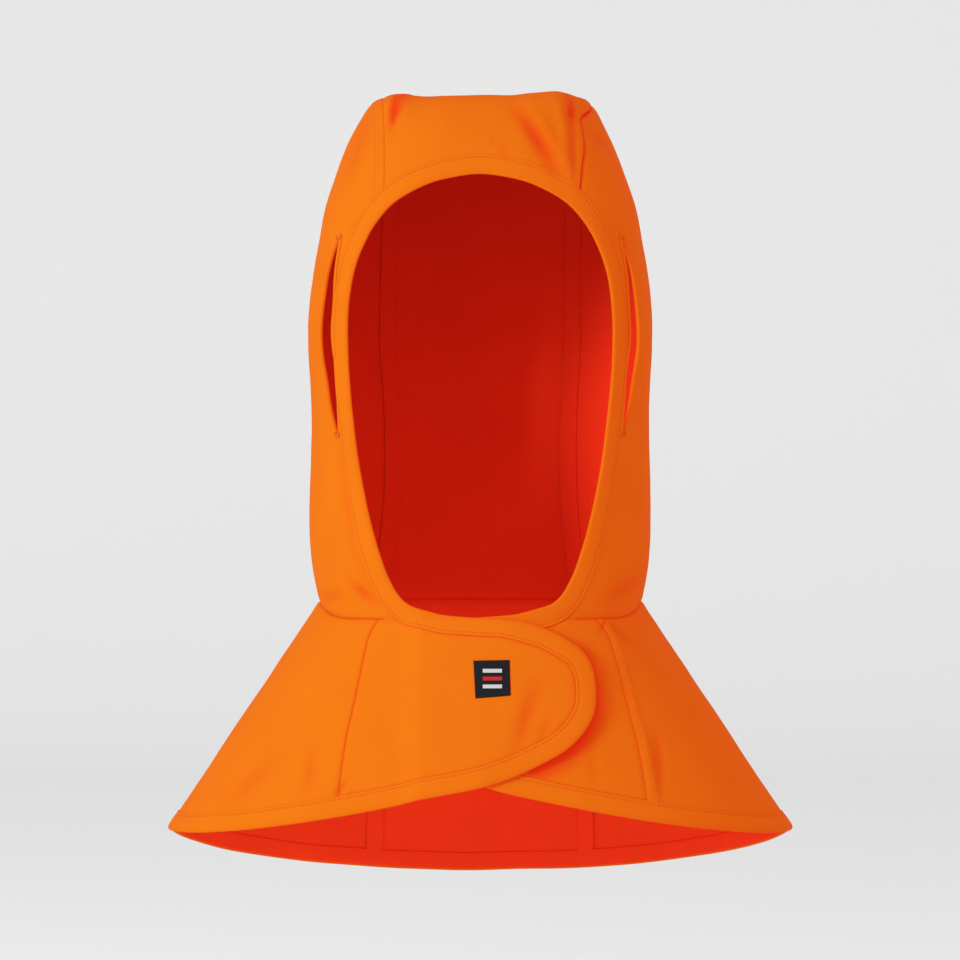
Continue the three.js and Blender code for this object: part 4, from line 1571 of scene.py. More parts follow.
@dataclass
class Cutter:
    """Draws the outlines of all the panels."""

    form: HoodForm
    pattern: Pattern
    hood_radius: float = 100
    cape_radius: float = 150
    inset_share: float = 1 / 160

    def __post_init__(self) -> None:
        """Makes the flat maps and the seams that panels share."""
        self.hood_map = TurnedMap(self.form, self.hood_radius)
        self.cape_map = TurnedMap(self.form, self.cape_radius)
        self.crown_map = CrownMap(self.form)
        pattern = self.pattern
        self.front_gusset = {side: pattern.gusset_seam(side, back=False) for side in Side}
        self.back_gusset = {side: pattern.gusset_seam(side, back=True) for side in Side}
        self.over_seam = pattern.front_seam(pattern.over_seam_at_neck, pattern.over_seam_at_hem)
        self.under_seam = pattern.front_seam(pattern.under_seam_at_neck, pattern.under_seam_at_hem)
        self.hem_level = HEM - EDGE_INSET * self.inset_share

    def turned(self, rows: Array, side: Side) -> Array:
        """Level and angle rows of +X, moved to a side with angles that run on without a jump."""
        if side is Side.LEFT:
            return rows
        return np.stack([rows[:, 0], math.pi - rows[:, 1]], 1)

    def level_line(self, level: float, first: float, last: float, count: int) -> Array:
        """Rows of level and angle along one level, from a first angle to a last one."""
        return np.stack([np.full(count, level), np.linspace(first, last, count)], 1)

    def joined(self, *lines: Array) -> Array:
        """One closed outline from lines that each end where the next one starts."""
        return np.vstack([line[:-1] for line in lines])

    def seam_places(self, rows: Array) -> Places:
        """Places along rows of level and angle."""
        return self.form.at(rows[:, 0], rows[:, 1])

    def brow_cross(self, side: Side) -> int:
        """Index of the opening's edge point at which a gusset seam ends."""
        edge = self.opening_edge()
        return int(np.argmax(edge[:, 0] > self.pattern.gusset_width(edge[:, 1], side)))

    def opening_edge(self) -> Array:
        """The opening's edge at +X, drawn back to lie inside its binding."""
        edge = self.pattern.opening_side()
        run = np.gradient(edge, axis=0)
        return edge + unit(np.stack([-run[:, 1], run[:, 0]], 1)) * EDGE_INSET

    def gusset_front_line(self, side: Side) -> Array:
        """A front gusset seam down to the opening, as level and angle at +X."""
        foot = self.opening_edge()[self.brow_cross(side), 1]
        seam = self.front_gusset[side]
        return seam[self.form.point(seam[:, 0], seam[:, 1])[:, 2] > foot + 0.5]

    def hood_side(self, side: Side) -> Array:
        """Outline of a side panel on the hood's flat map."""
        pattern = self.pattern
        edge = self.opening_edge()[self.brow_cross(side):]
        seam = self.back_gusset[side]
        corner = pattern.front_at(NECK, np.array([pattern.flap_corner_across]))
        front = self.form.place_of(np.vstack([edge, corner]))
        neck = self.level_line(ABOVE_NECK, front[-1, 1], seam[-1, 1], 160)
        loop = np.vstack([self.gusset_front_line(side), front[:-1], neck, seam[::-1][1:-1]])
        return self.hood_map.flat(self.turned(loop, side))

    def slit_hole(self, side: Side) -> Array:
        """Outline of an ear slit on the hood's flat map."""
        lens = self.pattern.slit(side)
        starts = np.stack([np.full(len(lens), side.value * 200.0), lens[:, 0], lens[:, 1]], 1)
        spots = self.form.seen(starts, np.array([-float(side.value), 0.0, 0.0])).points
        angle = np.arctan2(spots[:, 1], spots[:, 0])
        if side is Side.RIGHT:
            angle = np.mod(angle, WHOLE_TURN)
        rows = np.array([self.level_and_turn(spot, turn) for spot, turn in zip(spots, angle)])
        if side is Side.RIGHT:
            rows[:, 1] = np.mod(rows[:, 1], WHOLE_TURN)
        return self.hood_map.flat(rows)

    def level_and_turn(self, spot: Array, turn: float) -> tuple[float, float]:
        """Finds the level and angle of a spot of the hood, from its rough angle."""
        levels = np.linspace(0.2, 0.95, 700)
        line = self.form.point(levels, np.full(len(levels), turn))
        level = float(levels[np.argmin(np.abs(line[:, 2] - spot[2]))])
        step = 0.002
        for _ in range(12):
            here = self.form.point(np.array([level]), np.array([turn]))[0]
            down = self.form.point(np.array([level + step]), np.array([turn]))[0] - here
            round_it = self.form.point(np.array([level]), np.array([turn + step]))[0] - here
            share, *_ = np.linalg.lstsq(np.stack([down, round_it], 1), spot - here, rcond=None)
            level, turn = level + float(share[0]) * step, turn + float(share[1]) * step
        return level, turn

    def crown(self) -> Array:
        """Outline of the crown panel on its flat map."""
        edge = self.opening_edge()
        right, left = (edge[: self.brow_cross(side) + 1] for side in (Side.RIGHT, Side.LEFT))
        brow = spaced(np.vstack([flipped(right)[::-1], left[1:]]), 1.6)
        front_length = self.crown_map.end(brow[:, 0], brow[:, 1], back=False)
        front = np.stack([brow[:, 0], front_length], 1)
        half = self.pattern.gusset_width(np.array([self.pattern.neck_z]))[0]
        across = np.linspace(half, -half, 70)
        angle = self.form.angle_at(1.0, across, back=True)
        neck = self.form.point(np.ones(70), angle)[:, 2] + SEAM_GAP / 2
        back = np.stack([across, self.crown_map.end(across, neck, back=True)], 1)
        left = self.crown_side(Side.LEFT, front[-1, 1], back[0, 1])
        right = self.crown_side(Side.RIGHT, front[0, 1], back[-1, 1])
        return np.vstack([front, left, back, (right * [-1, 1])[::-1]])

    def crown_side(self, side: Side, first: float, last: float) -> Array:
        """Half widths and lengths of the crown panel's edge, as if at +X.

        Args:
            side: the side of the panel.
            first: length at the brow.
            last: length at the nape.

        Returns:
            Points of the flat map.
        """
        lengths = np.linspace(first, last, 300)[1:-1]
        width = np.full(len(lengths), self.pattern.gusset_half_width)
        for _ in range(14):
            z = self.crown_map.place(np.stack([width, lengths], 1)).points[:, 2]
            width = 0.5 * (width + self.pattern.gusset_width(z, side, lengths > self.crown_map.top))
        return np.stack([width - SEAM_GAP / 2, lengths], 1)

    def back_seam(self) -> Array:
        """Level and angle of the cape's back seam at +X, from the neck down."""
        pattern, form = self.pattern, self.form
        levels = np.linspace(BELOW_NECK, HEM, 120)
        top = pattern.neck_z + form.neck_front_dip
        foot = pattern.neck_z - form.cape_drop - form.hem_back_fall - 35
        x = np.full(len(levels), pattern.back_seam_at_neck)
        for _ in range(4):
            z = form.point(levels, form.angle_at(levels, x, back=True))[:, 2]
            share = (top - z) / (top - foot)
            x = pattern.back_seam_at_neck + (pattern.back_seam_at_hem - pattern.back_seam_at_neck) * share
        return np.stack([levels, form.angle_at(levels, x, back=True)], 1)

    def seam_rows(self, seam: Array) -> Array:
        """Level and angle of a front seam of the cape at +X, cut at the neck and the hem."""
        rows = self.form.place_of(seam)
        rows = rows[(rows[:, 0] > BELOW_NECK) & (rows[:, 0] < self.hem_level)]
        return np.vstack([[BELOW_NECK, rows[0, 1]], rows, [self.hem_level, rows[-1, 1]]])

    def cape_side(self, side: Side) -> Array:
        """Outline of a side panel of the cape on the cape's flat map."""
        front = self.seam_rows(self.under_seam if side is Side.LEFT else self.over_seam)
        back = self.back_seam()
        back = back[back[:, 0] < self.hem_level]
        neck = self.level_line(BELOW_NECK, back[0, 1], front[0, 1], 120)
        hem = self.level_line(self.hem_level, front[-1, 1], back[-1, 1], 200)
        return self.cape_map.flat(self.turned(self.joined(neck, front, hem, back[::-1]), side))

    def cape_back(self) -> Array:
        """Outline of the cape's back panel on the cape's flat map."""
        left = self.back_seam()
        left = left[left[:, 0] < self.hem_level]
        right = self.turned(left, Side.RIGHT)
        neck = self.level_line(BELOW_NECK, right[0, 1], left[0, 1], 90)
        hem = self.level_line(self.hem_level, left[-1, 1], right[-1, 1], 90)
        return self.cape_map.flat(self.joined(neck, left, hem, right[::-1]))

    def flap(self, reach: float, seam: Array, inset: float) -> Array:
        """Outline of the flap sewn down at -X as x, z.

        Args:
            reach: how far its tip reaches towards +X.
            seam: its seam, drawn at +X.
            inset: how far its free edge is drawn back.

        Returns:
            The outline.
        """
        pattern = self.pattern
        sewn = flipped(seam)
        edge = pattern.free_edge(reach, seam[-1, 0])
        run = np.gradient(edge, axis=0)
        edge = edge + unit(np.stack([run[:, 1], -run[:, 0]], 1)) * inset
        edge = edge[edge[:, 0] > sewn[-1, 0] + SEAM_GAP / 2]
        sewn = sewn[sewn[:, 1] > edge[-1, 1] + SEAM_GAP] + [SEAM_GAP / 2, 0]
        corner = pattern.front_at(NECK, np.array([-pattern.flap_corner_across])) - [0, SEAM_GAP]
        return np.vstack([edge, sewn[::-1], corner])


@dataclass
class Binding:
    """The folded binding that runs round the opening, both flaps and the hem as one closed line."""

    cutter: Cutter
    flap_lift: FlapLift
    step: float = 2.0
    shadow_from: tuple[float, float] = (30.0, -340.0)
    ledge_shade: float = 0.3
    stitch_shade: float = 0.06
    rubbed_shade: float = 0.05
    reverse_places: range = range(16, 22)

    def __post_init__(self) -> None:
        """Draws the whole line and notes where each part starts."""
        pattern, form = self.cutter.pattern, self.cutter.form
        side = pattern.opening_side()
        opening = np.vstack([flipped(side)[::-1], side[1:]])
        under = flipped(pattern.free_edge(pattern.under_flap_reach, pattern.under_seam_at_hem))
        over = pattern.free_edge(pattern.over_flap_reach, pattern.over_seam_at_hem)
        angles = form.angle_at(HEM, np.array([pattern.under_seam_at_hem, -pattern.over_seam_at_hem]))
        turns = np.linspace(angles[0], angles[1] + WHOLE_TURN, 500)
        parts = {
            "opening": form.front(spaced(opening, self.step)),
            "under": form.front(spaced(under, self.step)),
            "hem": form.at(HEM, turns),
            "over": form.front(spaced(over[::-1], self.step)),
        }
        self.bounds: dict[str, tuple[int, int]] = {}
        lines = []
        start = 0
        for name, part in parts.items():
            lines.append(part.spaced(self.step).cut(slice(0, -1)))
            self.bounds[name] = (start, start + len(lines[-1].points))
            start = self.bounds[name][1]
        points, out = ([getattr(line, name) for line in lines] for name in ("points", "out"))
        self.places = Places(np.vstack(points), np.vstack(out))

    def strip(self) -> Strip:
        """The whole binding as one closed strip, so that neighbouring parts meet exactly."""
        return Strip("binding", self.cutter.form, self.places, binding_profile(), closed=True)

    def lift_at(self, points: Array) -> Array:
        """Lift of the binding at a point of each of its sections."""
        low, high = self.bounds["over"]
        lift = np.zeros(len(points))
        lift[low:high] = self.flap_lift.at(points[low:high])
        return lift

    def build(self, cloth: Cloth, relief: Relief) -> dict[str, bpy.types.Object]:
        """Makes the four parts of the binding, each in place of its facing.

        Args:
            cloth: what turns points into a piece.
            relief: the folds of the cloth.

        Returns:
            The parts by name.
        """
        grid, grain = self.strip().sections(relief, self.lift_at)
        along, round_it = chords(grid), chords(grid, axis=1)
        normals = unit(np.cross(round_it, along))
        if (normals * (grid - grid.mean(1, keepdims=True))).sum() < 0:
            normals = -normals
        named = {
            "opening": ("opening_binding", "face_facing"),
            "under": ("under_flap_binding", "under_flap_facing"),
            "hem": ("hem_binding", "hem_facing"),
            "over": ("over_flap_binding", "over_flap_facing"),
        }
        made = {}
        for part, (name, node) in named.items():
            low, high = self.bounds[part]
            ids = np.arange(low, high + 1) % len(grid)
            made[part] = self.part(cloth, name, node, grid[ids], grain[ids])
            made[part].data.normals_split_custom_set_from_vertices(normals[ids].reshape(-1, 3).tolist())
        return made

    def shadow_line(self) -> Array:
        """The part of the over flap's edge, low on its far side and moved out a little, along which a
        painted shadow falls on the flap below.
        """
        low, high = self.bounds["over"]
        edge = self.places.points[low:high]
        x, z = edge[:, 0], edge[:, 2]
        return edge[(x > self.shadow_from[0]) & (z < self.shadow_from[1])] + [1.5, 0, -1.0]

    def inner_edge(self, part: str) -> Array:
        """The line over the cloth at which a part of the binding ends."""
        low, high = self.bounds[part]
        return self.strip().across(BAND_WIDTH).points[low:high]

    def part(self, cloth: Cloth, name: str, node: str, grid: Array, grain: Array) -> bpy.types.Object:
        """Makes one part from its cross-sections."""
        shade = np.zeros(grid.shape[:2])
        # Painted shade on the ledge and in the stitch groove; a light wear tone on the folded edge.
        shade[:, :2] = self.ledge_shade if "flap" in name else self.ledge_shade / 2
        shade[:, 4:6] = self.stitch_shade
        shade[:, 10:14] = self.rubbed_shade
        return settled(cloth.tube(name, grid, grain, shade, self.reverse_places), node)


@dataclass
class SlitLip:
    """The rolled lip of an ear slit, and the tacks at its ends."""

    name: str
    form: HoodForm
    edge: Places
    width: float = 2.3

    def profile(self) -> Array:
        """Across and height of the roll, open inside where it holds the cloth."""
        wide = self.width
        return np.array([
            (wide, 0.02), (wide - 0.1, 0.45), (wide - 0.7, 0.85), (0.8, 0.9), (0.0, 0.6), (-0.35, 0.0),
            (-0.45, -0.6), (-0.35, -1.2), (0.0, -1.7), (0.8, -2.0), (wide - 0.7, -1.95), (wide - 0.1, -1.6),
            (wide, -1.22), (1.2, -1.22), (0.42, -0.6), (1.2, 0.02),
        ])

    def build(self, cloth: Cloth, relief: Relief) -> bpy.types.Object:
        """Makes the lip round the slit.

        Args:
            cloth: what turns points into a piece.
            relief: the folds of the cloth.

        Returns:
            The new object.
        """
        line = self.edge.spaced(1.6, closed=True)
        strip = Strip(self.name, self.form, line, self.profile(), closed=True)
        away = line.points - line.points.mean(0)
        strip.flip = (away * strip.headings()).sum() < 0
        return strip.build(cloth, relief)

    def tacks(self, wardrobe: Wardrobe, face: OuterFace) -> bpy.types.Object:
        """Makes the short dense bars of thread across both ends."""
        points = self.edge.points
        runs = []
        for end, inward in ((int(np.argmax(points[:, 2])), -1.0), (int(np.argmin(points[:, 2])), 1.0)):
            spot, out = points[end], self.edge.out[end]
            aside = unit(np.cross(out, np.array([0.0, 0.0, 1.0])))
            for step in range(-2, 3):
                centre = spot + np.array([0, 0, inward * 1.0 + step * 0.55])
                bar = np.array([centre - aside * 1.6, centre, centre + aside * 1.6])
                runs.append(face.landed(Places(bar, np.tile(out, (3, 1))), 0.1, reach=5))
        name = self.name.replace("lip", "tacks")
        return Stitching(name, wardrobe, pitch=1.6, length=1.9, radius=0.2).build(runs)


@dataclass
class Label:
    """A small woven label sewn flat on the over flap."""

    corners: tuple[tuple[float, float], ...] = (
        (-4.0, -344.0), (17.0, -343.7), (17.6, -364.6), (-2.8, -366.2),
    )
    steps: int = 34
    wall: float = 0.7
    fray: float = 0.16

    def build(self, cloth: Cloth, form: HoodForm, face: OuterFace) -> bpy.types.Object:
        """Makes the label on the flap's face.

        Args:
            cloth: what turns points into a piece.
            form: the smooth form.
            face: the finished faces that it lies on.

        Returns:
            The new object.
        """
        share = np.linspace(0, 1, self.steps + 1)
        u, v = np.meshgrid(share, share)
        top_left, top_right, low_right, low_left = (np.array(c) for c in self.corners)
        u, v = u[..., None], v[..., None]
        upper, lower = top_left * (1 - u) + top_right * u, low_left * (1 - u) + low_right * u
        view = (upper * (1 - v) + lower * v).reshape(-1, 2)
        edge = ((u == 0) | (u == 1) | (v == 0) | (v == 1)).ravel()
        rough = np.array([noise.noise(Vector((p[0] * 1.3, p[1] * 1.3, 2.0))) for p in view])
        view = view + (rough * edge)[:, None] * self.fray
        below = face.landed(form.front(view), 0.04)
        curl = 0.35 * np.clip(1 - 6 * np.minimum(u, v).ravel(), 0, 1) ** 2
        over = below.lifted(self.wall - 0.25 * edge + curl)
        count = self.steps + 1
        total = count * count
        faces = []
        for i in range(self.steps):
            for j in range(self.steps):
                a, b = i * count + j, i * count + j + 1
                c, d = (i + 1) * count + j + 1, (i + 1) * count + j
                faces.append((a, d, c, b))
                faces.append((total + a, total + b, total + c, total + d))
        ring = [*range(count), *(i * count + count - 1 for i in range(1, count)),
                *range(total - 2, total - count - 1, -1), *(i * count for i in range(count - 2, 0, -1))]
        for a, b in zip(ring, ring[1:] + ring[:1]):
            faces.append((a, b, total + b, total + a))
        grain = np.tile(view - view.mean(0), (2, 1))
        made = cloth.piece("woven_label", np.vstack([over, below.points]), faces, grain,
                           materials=[cloth.wardrobe.label])
        return settled(made, "neck_label")


class Held(Enum):
    """How a sheet of cloth is held."""

    HUNG = "hung"
    FOLDED = "folded"
    LAID = "laid"


@dataclass(frozen=True)
class Cut:
    """A sheet of cloth as it was cut, in metres, and what it hangs from, lies on and carries."""

    piece: str
    flat: tuple[float, float]
    area: float | None = None
    held: Held = Held.HUNG
    rests_on: tuple[str, ...] = ()
    carries: tuple[str, ...] = ()

    def declare(self, pieces: dict[str, bpy.types.Object]) -> None:
        list(self.rests_on)
        [pieces[name] for name in self.carries]


CUTS = (
    Cut("crown_cloth", (0.130, 0.535), 0.0635,
        carries=("gusset_tape_left", "gusset_tape_right", "gusset_stitches_left", "gusset_stitches_right")),
    Cut("side_cloth_left", (0.235, 0.33), 0.0645, carries=("slit_lip_left", "slit_tacks_left")),
    Cut("side_cloth_right", (0.235, 0.33), 0.0645, carries=("slit_lip_right", "slit_tacks_right")),
    Cut("cape_back_cloth", (0.140, 0.185), 0.0246, rests_on=("crown_cloth",),
        carries=("cape_back_tape_left", "cape_back_tape_right", "back_stitches_left", "back_stitches_right",
                 "neck_tape")),
    Cut("cape_side_cloth_left", (0.30, 0.19), 0.0436, rests_on=("side_cloth_left",),
        carries=("cape_front_tape_left", "under_seam_stitches")),
    Cut("cape_side_cloth_right", (0.30, 0.19), 0.0455, rests_on=("side_cloth_right",),
        carries=("cape_front_tape_right",)),
    Cut("over_flap_cloth", (0.160, 0.136), 0.0145, rests_on=("under_flap_cloth",)),
    Cut("under_flap_cloth", (0.137, 0.140), 0.0132, rests_on=("cape_side_cloth_left",),
        carries=("closure_patch",)),
    Cut("opening_binding", (0.026, 0.605), held=Held.FOLDED,
        rests_on=("crown_cloth", "side_cloth_left", "side_cloth_right"),
        carries=("opening_binding_stitches",)),
    Cut("under_flap_binding", (0.026, 0.275), held=Held.FOLDED, rests_on=("under_flap_cloth",),
        carries=("under_binding_stitches",)),
    Cut("over_flap_binding", (0.026, 0.32), held=Held.FOLDED, rests_on=("over_flap_cloth",),
        carries=("over_binding_stitches",)),
    Cut("hem_binding", (0.026, 0.834), held=Held.FOLDED,
        rests_on=("cape_side_cloth_left", "cape_back_cloth", "cape_side_cloth_right"),
        carries=("hem_binding_stitches",)),
    Cut("woven_label", (0.0215, 0.0215), held=Held.LAID, rests_on=("over_flap_cloth",)),
)


@dataclass
class NeckCover:
    """The whole neck cover: panels, binding, seam tapes, stitches, label and closure."""

    nodes: dict[str, bpy.types.Object]
    form: HoodForm = field(default_factory=HoodForm)
    flap_lift: FlapLift = field(default_factory=lambda: FlapLift(seam=51, full=33))
    stitch_row: float = 10.0
    seam_row: float = 6.6
    stitch_height: float = 0.02

    def __post_init__(self) -> None:
        """Sets up the tools that all the pieces share."""
        self.pattern = Pattern(self.form)
        self.relief = Relief()
        self.cutter = Cutter(self.form, self.pattern)
        self.cloth = Cloth(Wardrobe())
        self.binding = Binding(self.cutter, self.flap_lift)
        self.neck_ring = self.form.point(np.ones(700), np.linspace(0, WHOLE_TURN, 700))
        self.pieces: dict[str, bpy.types.Object] = {}

    def report(self, piece: bpy.types.Object) -> bpy.types.Object:
        """Keeps a finished piece and logs it."""
        self.pieces[piece.name] = piece
        LOG.info("built %s, %d faces", piece.name, len(piece.data.polygons))
        return piece

    def gusset_line(self, side: Side) -> Places:
        """Places along a gusset seam, front foot over the top to the nape."""
        cutter = self.cutter
        rows = np.vstack([cutter.gusset_front_line(side)[::-1], cutter.back_gusset[side][1:]])
        return cutter.seam_places(cutter.turned(rows, side))

    def back_line(self, side: Side) -> Places:
        """Places along a back seam of the cape, from the neck down."""
        return self.cutter.seam_places(self.cutter.turned(self.cutter.back_seam(), side))

    def front_line(self, seam: Array) -> Places:
        """Places along a front seam of the cape, ended short of the hem."""
        return self.form.front(spaced(seam, 2)[:-8])

    def build_hood(self) -> None:
        """Makes the crown panel and the two side panels."""
        cutter = self.cutter
        right_seam, left_seam = (self.gusset_line(side).points for side in (Side.RIGHT, Side.LEFT))
        crown = Panel(
            "crown_cloth",
            cutter.crown(),
            cutter.crown_map.place,
            "crown_panel",
            seams=[Seam(left_seam, SeamKind.LAPPED, 0.85), Seam(right_seam, shade=0.0, depth=0.5)],
        )
        self.report(crown.build(self.cloth, self.relief))
        neck = Seam(self.neck_ring, shade=0.12)
        lapped = {
            Side.RIGHT: Seam(right_seam, SeamKind.LAPPED, 0.0, depth=0.5),
            Side.LEFT: Seam(left_seam, SeamKind.PLAIN, 0.85),
        }
        for side, seam in lapped.items():
            name = side.name.lower()
            slit = cutter.slit_hole(side)
            panel = Panel(
                f"side_cloth_{name}",
                cutter.hood_side(side),
                cutter.hood_map.place,
                f"side_panel_{name}",
                holes=[moved_in(slit, -0.6)],
                seams=[neck, seam],
            )
            self.report(panel.build(self.cloth, self.relief))
            lip = SlitLip(f"slit_lip_{name}", self.form, cutter.hood_map.place(slit))
            self.report(lip.build(self.cloth, self.relief))
            face = OuterFace(self.pieces[f"side_cloth_{name}"], self.pieces[lip.name])
            self.report(lip.tacks(self.cloth.wardrobe, face))

    def build_cape(self) -> None:
        """Makes the back, the sides and the two flaps of the cape."""
        cutter, place = self.cutter, self.cutter.cape_map.place
        neck = Seam(self.neck_ring, shade=0.12)
        back_left = self.back_line(Side.LEFT).points
        back_right = back_left * [-1, 1, 1]
        over = Seam(self.form.front(flipped(cutter.over_seam)).points, shade=0.3, shade_reach=0.8)
        # The over flap's edge casts a painted shadow on the under flap beside it.
        below = self.binding.shadow_line()
        under = self.form.front(cutter.under_seam).points
        ledges = {name: Seam(self.binding.inner_edge(name), SeamKind.LEDGE, 0.22)
                  for name in ("over", "under")}
        over_flap = cutter.flap(self.pattern.over_flap_reach, cutter.over_seam, EDGE_INSET)
        under_flap = flipped(cutter.flap(self.pattern.under_flap_reach, cutter.under_seam, EDGE_INSET))
        flap_rows = (0.8, 1.8, 3.2, 5.2, 7.6, 9.9, 10.6, 11.3)
        panels = (
            Panel("cape_back_cloth", cutter.cape_back(), place, "cape_back",
                  seams=[neck, Seam(back_left), Seam(back_right)]),
            Panel("cape_side_cloth_right", cutter.cape_side(Side.RIGHT), place, "cape_side_right",
                  seams=[neck, over, Seam(back_right, SeamKind.LAPPED)]),
            Panel("cape_side_cloth_left", cutter.cape_side(Side.LEFT), place, "cape_side_left",
                  seams=[neck, Seam(under, SeamKind.LAPPED, 0.16), Seam(back_left, SeamKind.LAPPED)]),
            Panel("under_flap_cloth", under_flap, self.form.front, "cape_under_flap", edge_rows=flap_rows,
                  seams=[neck, Seam(under, shade=0.16), ledges["under"],
                         Seam(below, SeamKind.SHADOW, 0.5, 7.5)]),
            Panel("over_flap_cloth", over_flap, self.form.front, "cape_over_flap",
                  lift=self.flap_lift.at, edge_rows=flap_rows, seams=[neck, over, ledges["over"]]),
        )
        for panel in panels:
            self.report(panel.build(self.cloth, self.relief))

    def build_binding(self) -> None:
        """Makes the binding and its stitches."""
        binding = self.binding
        parts = binding.build(self.cloth, self.relief)
        for part in parts.values():
            self.report(part)
        row = binding.strip().across(self.stitch_row)
        lifts = binding.lift_at(row.points)
        for name, (low, high) in binding.bounds.items():
            run = row.cut(slice(low, high))
            run = Places(run.lifted(lifts[low:high]), run.out)
            landed = OuterFace(parts[name]).landed(run, self.stitch_height, reach=6)
            self.report(Stitching(f"{name}_binding_stitches", self.cloth.wardrobe).build([landed]))

    def build_tapes(self) -> None:
        """Makes the felled allowances inside the seams."""
        cutter = self.cutter
        corner = float(self.form.angle_at(NECK, np.array([self.pattern.flap_corner_across]))[0])
        neck = self.form.at(NECK, np.linspace(corner, math.pi - corner, 300))
        lines = (
            # name, line, width, lengths cut off its ends
            ("gusset_tape_right", self.gusset_line(Side.RIGHT), 12.0, (12.0, 1.0)),
            ("gusset_tape_left", self.gusset_line(Side.LEFT), 12.0, (12.0, 1.0)),
            ("cape_back_tape_left", self.back_line(Side.LEFT), 11.0, (1.0, 11.0)),
            ("cape_back_tape_right", self.back_line(Side.RIGHT), 11.0, (1.0, 11.0)),
            ("cape_front_tape_right", self.front_line(flipped(cutter.over_seam)), 9.0, (1.0, 1.0)),
            ("cape_front_tape_left", self.front_line(cutter.under_seam), 9.0, (1.0, 1.0)),
            ("neck_tape", neck, 6.0, (4.0, 4.0)),
        )
        for name, line, width, ends in lines:
            places = line.spaced(2.2).trimmed(*ends)
            strip = Strip(name, self.form, places, tape_profile(width), reverse=True)
            self.report(strip.build(self.cloth, self.relief))

    def build_seam_stitches(self) -> None:
        """Makes the topstitching beside the lapped seams."""
        outer = OuterFace(*(self.pieces[name] for name in (
            "crown_cloth", "side_cloth_right", "side_cloth_left", "cape_side_cloth_left",
            "cape_side_cloth_right", "under_flap_cloth",
        )))
        rows = (
            # name, line, side of the line, lengths cut off its ends
            ("gusset_stitches_right", self.gusset_line(Side.RIGHT), Side.RIGHT, (13.0, 2.0)),
            ("gusset_stitches_left", self.gusset_line(Side.LEFT), Side.RIGHT, (11.0, 2.0)),
            ("under_seam_stitches", self.front_line(self.cutter.under_seam), Side.LEFT, (5.0, 1.0)),
            ("back_stitches_left", self.back_line(Side.LEFT), Side.LEFT, (2.0, 13.0)),
            ("back_stitches_right", self.back_line(Side.RIGHT), Side.RIGHT, (2.0, 13.0)),
        )
        for name, line, side, ends in rows:
            strip = Strip(name, self.form, line.trimmed(*ends), tape_profile(4))
            headings = strip.headings()
            strip.flip = headings[len(headings) // 2, 0] * side.value < 0
            landed = outer.landed(strip.across(self.seam_row), self.stitch_height, reach=6)
            self.report(Stitching(name, self.cloth.wardrobe).build([landed]))

    def build_small_parts(self) -> None:
        """Makes the label and dresses the hidden closure."""
        face = OuterFace(self.pieces["over_flap_cloth"])
        self.report(Label().build(self.cloth, self.form, face))
        patch = self.nodes["closure_patch"]
        patch.data.materials.clear()
        patch.data.materials.append(self.cloth.wardrobe.pile)
        self.pieces["closure_patch"] = patch
        LOG.info("dressed closure_patch")

    def build(self) -> None:
        """Makes every piece in order."""
        self.build_hood()
        self.build_cape()
        self.build_binding()
        self.build_tapes()
        self.build_seam_stitches()
        self.build_small_parts()
        for cut in CUTS:
            cut.declare(self.pieces)


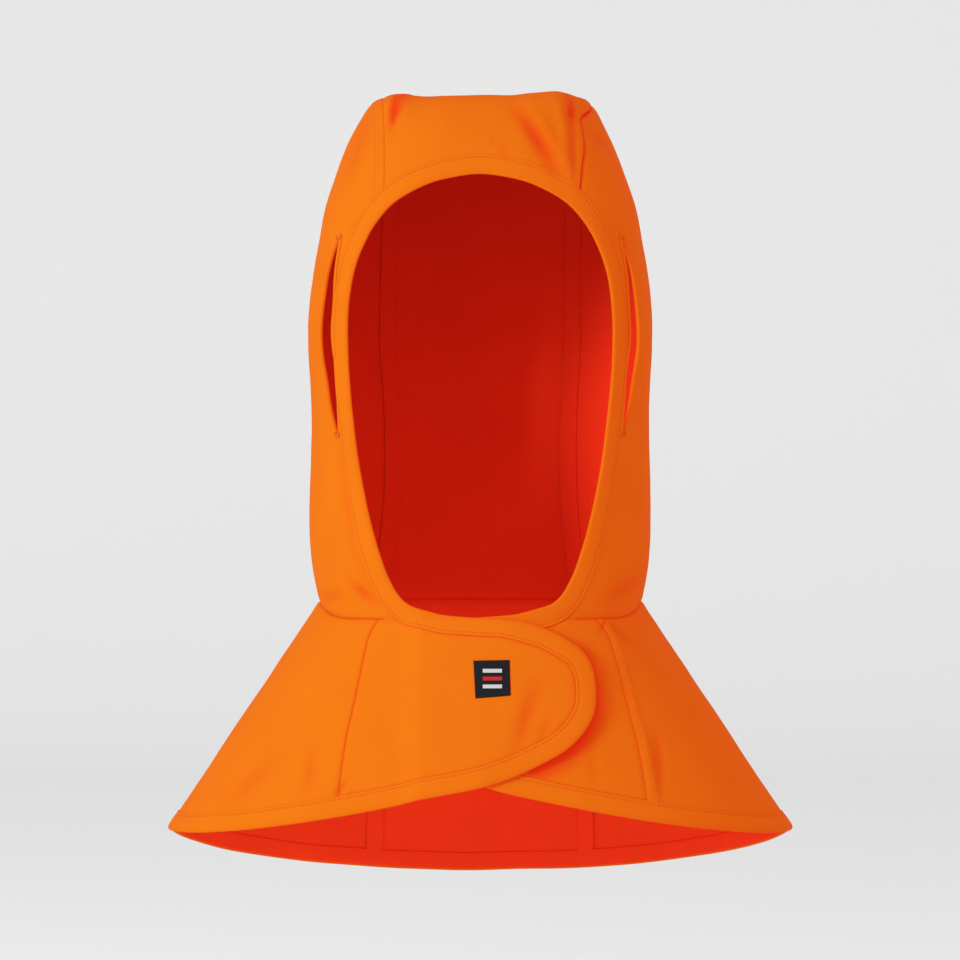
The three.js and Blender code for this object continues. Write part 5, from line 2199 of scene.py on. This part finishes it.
@dataclass
class Studio:
    """Plain pale room, soft lights and the camera."""

    camera_across: float = -0.0002
    camera_distance: float = 3.0
    camera_height: float = -0.235
    lens: float = 181.45
    sensor: float = 36.0
    floor_height: float = -0.62
    room_size: float = 9.0
    bend: float = 1.2
    bend_steps: int = 16
    wall_height: float = 5.0
    daylight: float = 0.865
    pale: tuple[float, float, float] = (0.83, 0.83, 0.833)

    def build(self) -> None:
        """Makes the room, the lights and the camera."""
        self.camera()
        self.room()
        self.world()
        self.lamp("key_light", (-2.0, -2.1, 0.35), 0.8, 76.0, (1.0, 0.98, 0.95))

    def camera(self) -> None:
        """Sets the camera level with the middle of the hood, square to its front."""
        data = bpy.data.cameras.new("camera")
        data.lens = self.lens
        data.sensor_width = self.sensor
        data.sensor_fit = "HORIZONTAL"
        made = bpy.data.objects.new("camera", data)
        made.location = (self.camera_across, -self.camera_distance, self.camera_height)
        made.rotation_euler = (math.pi / 2, 0, 0)
        bpy.context.scene.collection.objects.link(made)
        bpy.context.scene.camera = made

    def room(self) -> None:
        """Makes a pale floor that curves up into a backdrop."""
        half = self.room_size / 2
        back = half - self.bend
        profile = [(-half, 0.0)]
        for turn in np.linspace(0, math.pi / 2, self.bend_steps + 1).tolist():
            profile.append((back + self.bend * math.sin(turn), self.bend * (1 - math.cos(turn))))
        profile.append((half, self.wall_height))
        points, faces = [], []
        for y, z in profile:
            points += [(-half, y, self.floor_height + z), (half, y, self.floor_height + z)]
        for index in range(len(profile) - 1):
            a = 2 * index
            faces.append((a, a + 1, a + 3, a + 2))
        mesh = bpy.data.meshes.new("floor")
        mesh.from_pydata(points, [], faces)
        mesh.polygons.foreach_set("use_smooth", np.ones(len(faces), bool))
        board = NodeBoard("pale_floor")
        where = board.add("ShaderNodeTexCoord").outputs["Object"]
        near = tuple(0.985 * part for part in self.pale)
        tone = board.ramp(board.noise(where, 0.6), [(0.3, near), (0.7, self.pale)])
        board.put(board.shader, "Base Color", tone)
        board.put(board.shader, "Roughness", 0.9)
        mesh.materials.append(board.material)
        made = bpy.data.objects.new("floor", mesh)
        bpy.context.scene.collection.objects.link(made)

    def world(self) -> None:
        """Fills the room with even pale light."""
        world = bpy.data.worlds.new("studio")
        world.use_nodes = True
        background = world.node_tree.nodes["Background"]
        background.inputs[0].default_value = (1, 1, 1, 1)
        background.inputs[1].default_value = self.daylight
        bpy.context.scene.world = world
        bpy.context.scene.view_settings.view_transform = "Standard"

    def lamp(self, name: str, place: tuple[float, float, float], size: float, power: float,
             colour: tuple[float, float, float]) -> None:
        """Adds a soft square lamp that faces the hood."""
        data = bpy.data.lights.new(name, "AREA")
        data.size = size
        data.energy = power
        data.color = colour
        made = bpy.data.objects.new(name, data)
        made.location = place
        way = Vector((0, 0, self.camera_height)) - Vector(place)
        made.rotation_euler = way.to_track_quat("-Z", "Y").to_euler()
        bpy.context.scene.collection.objects.link(made)


def main() -> None:
    """Builds the neck cover and the studio."""
    logging.basicConfig(level=logging.INFO, format="%(message)s")
    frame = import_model()
    Studio().build()
    NeckCover(frame["nodes"]).build()


if __name__ == "__main__":
    main()
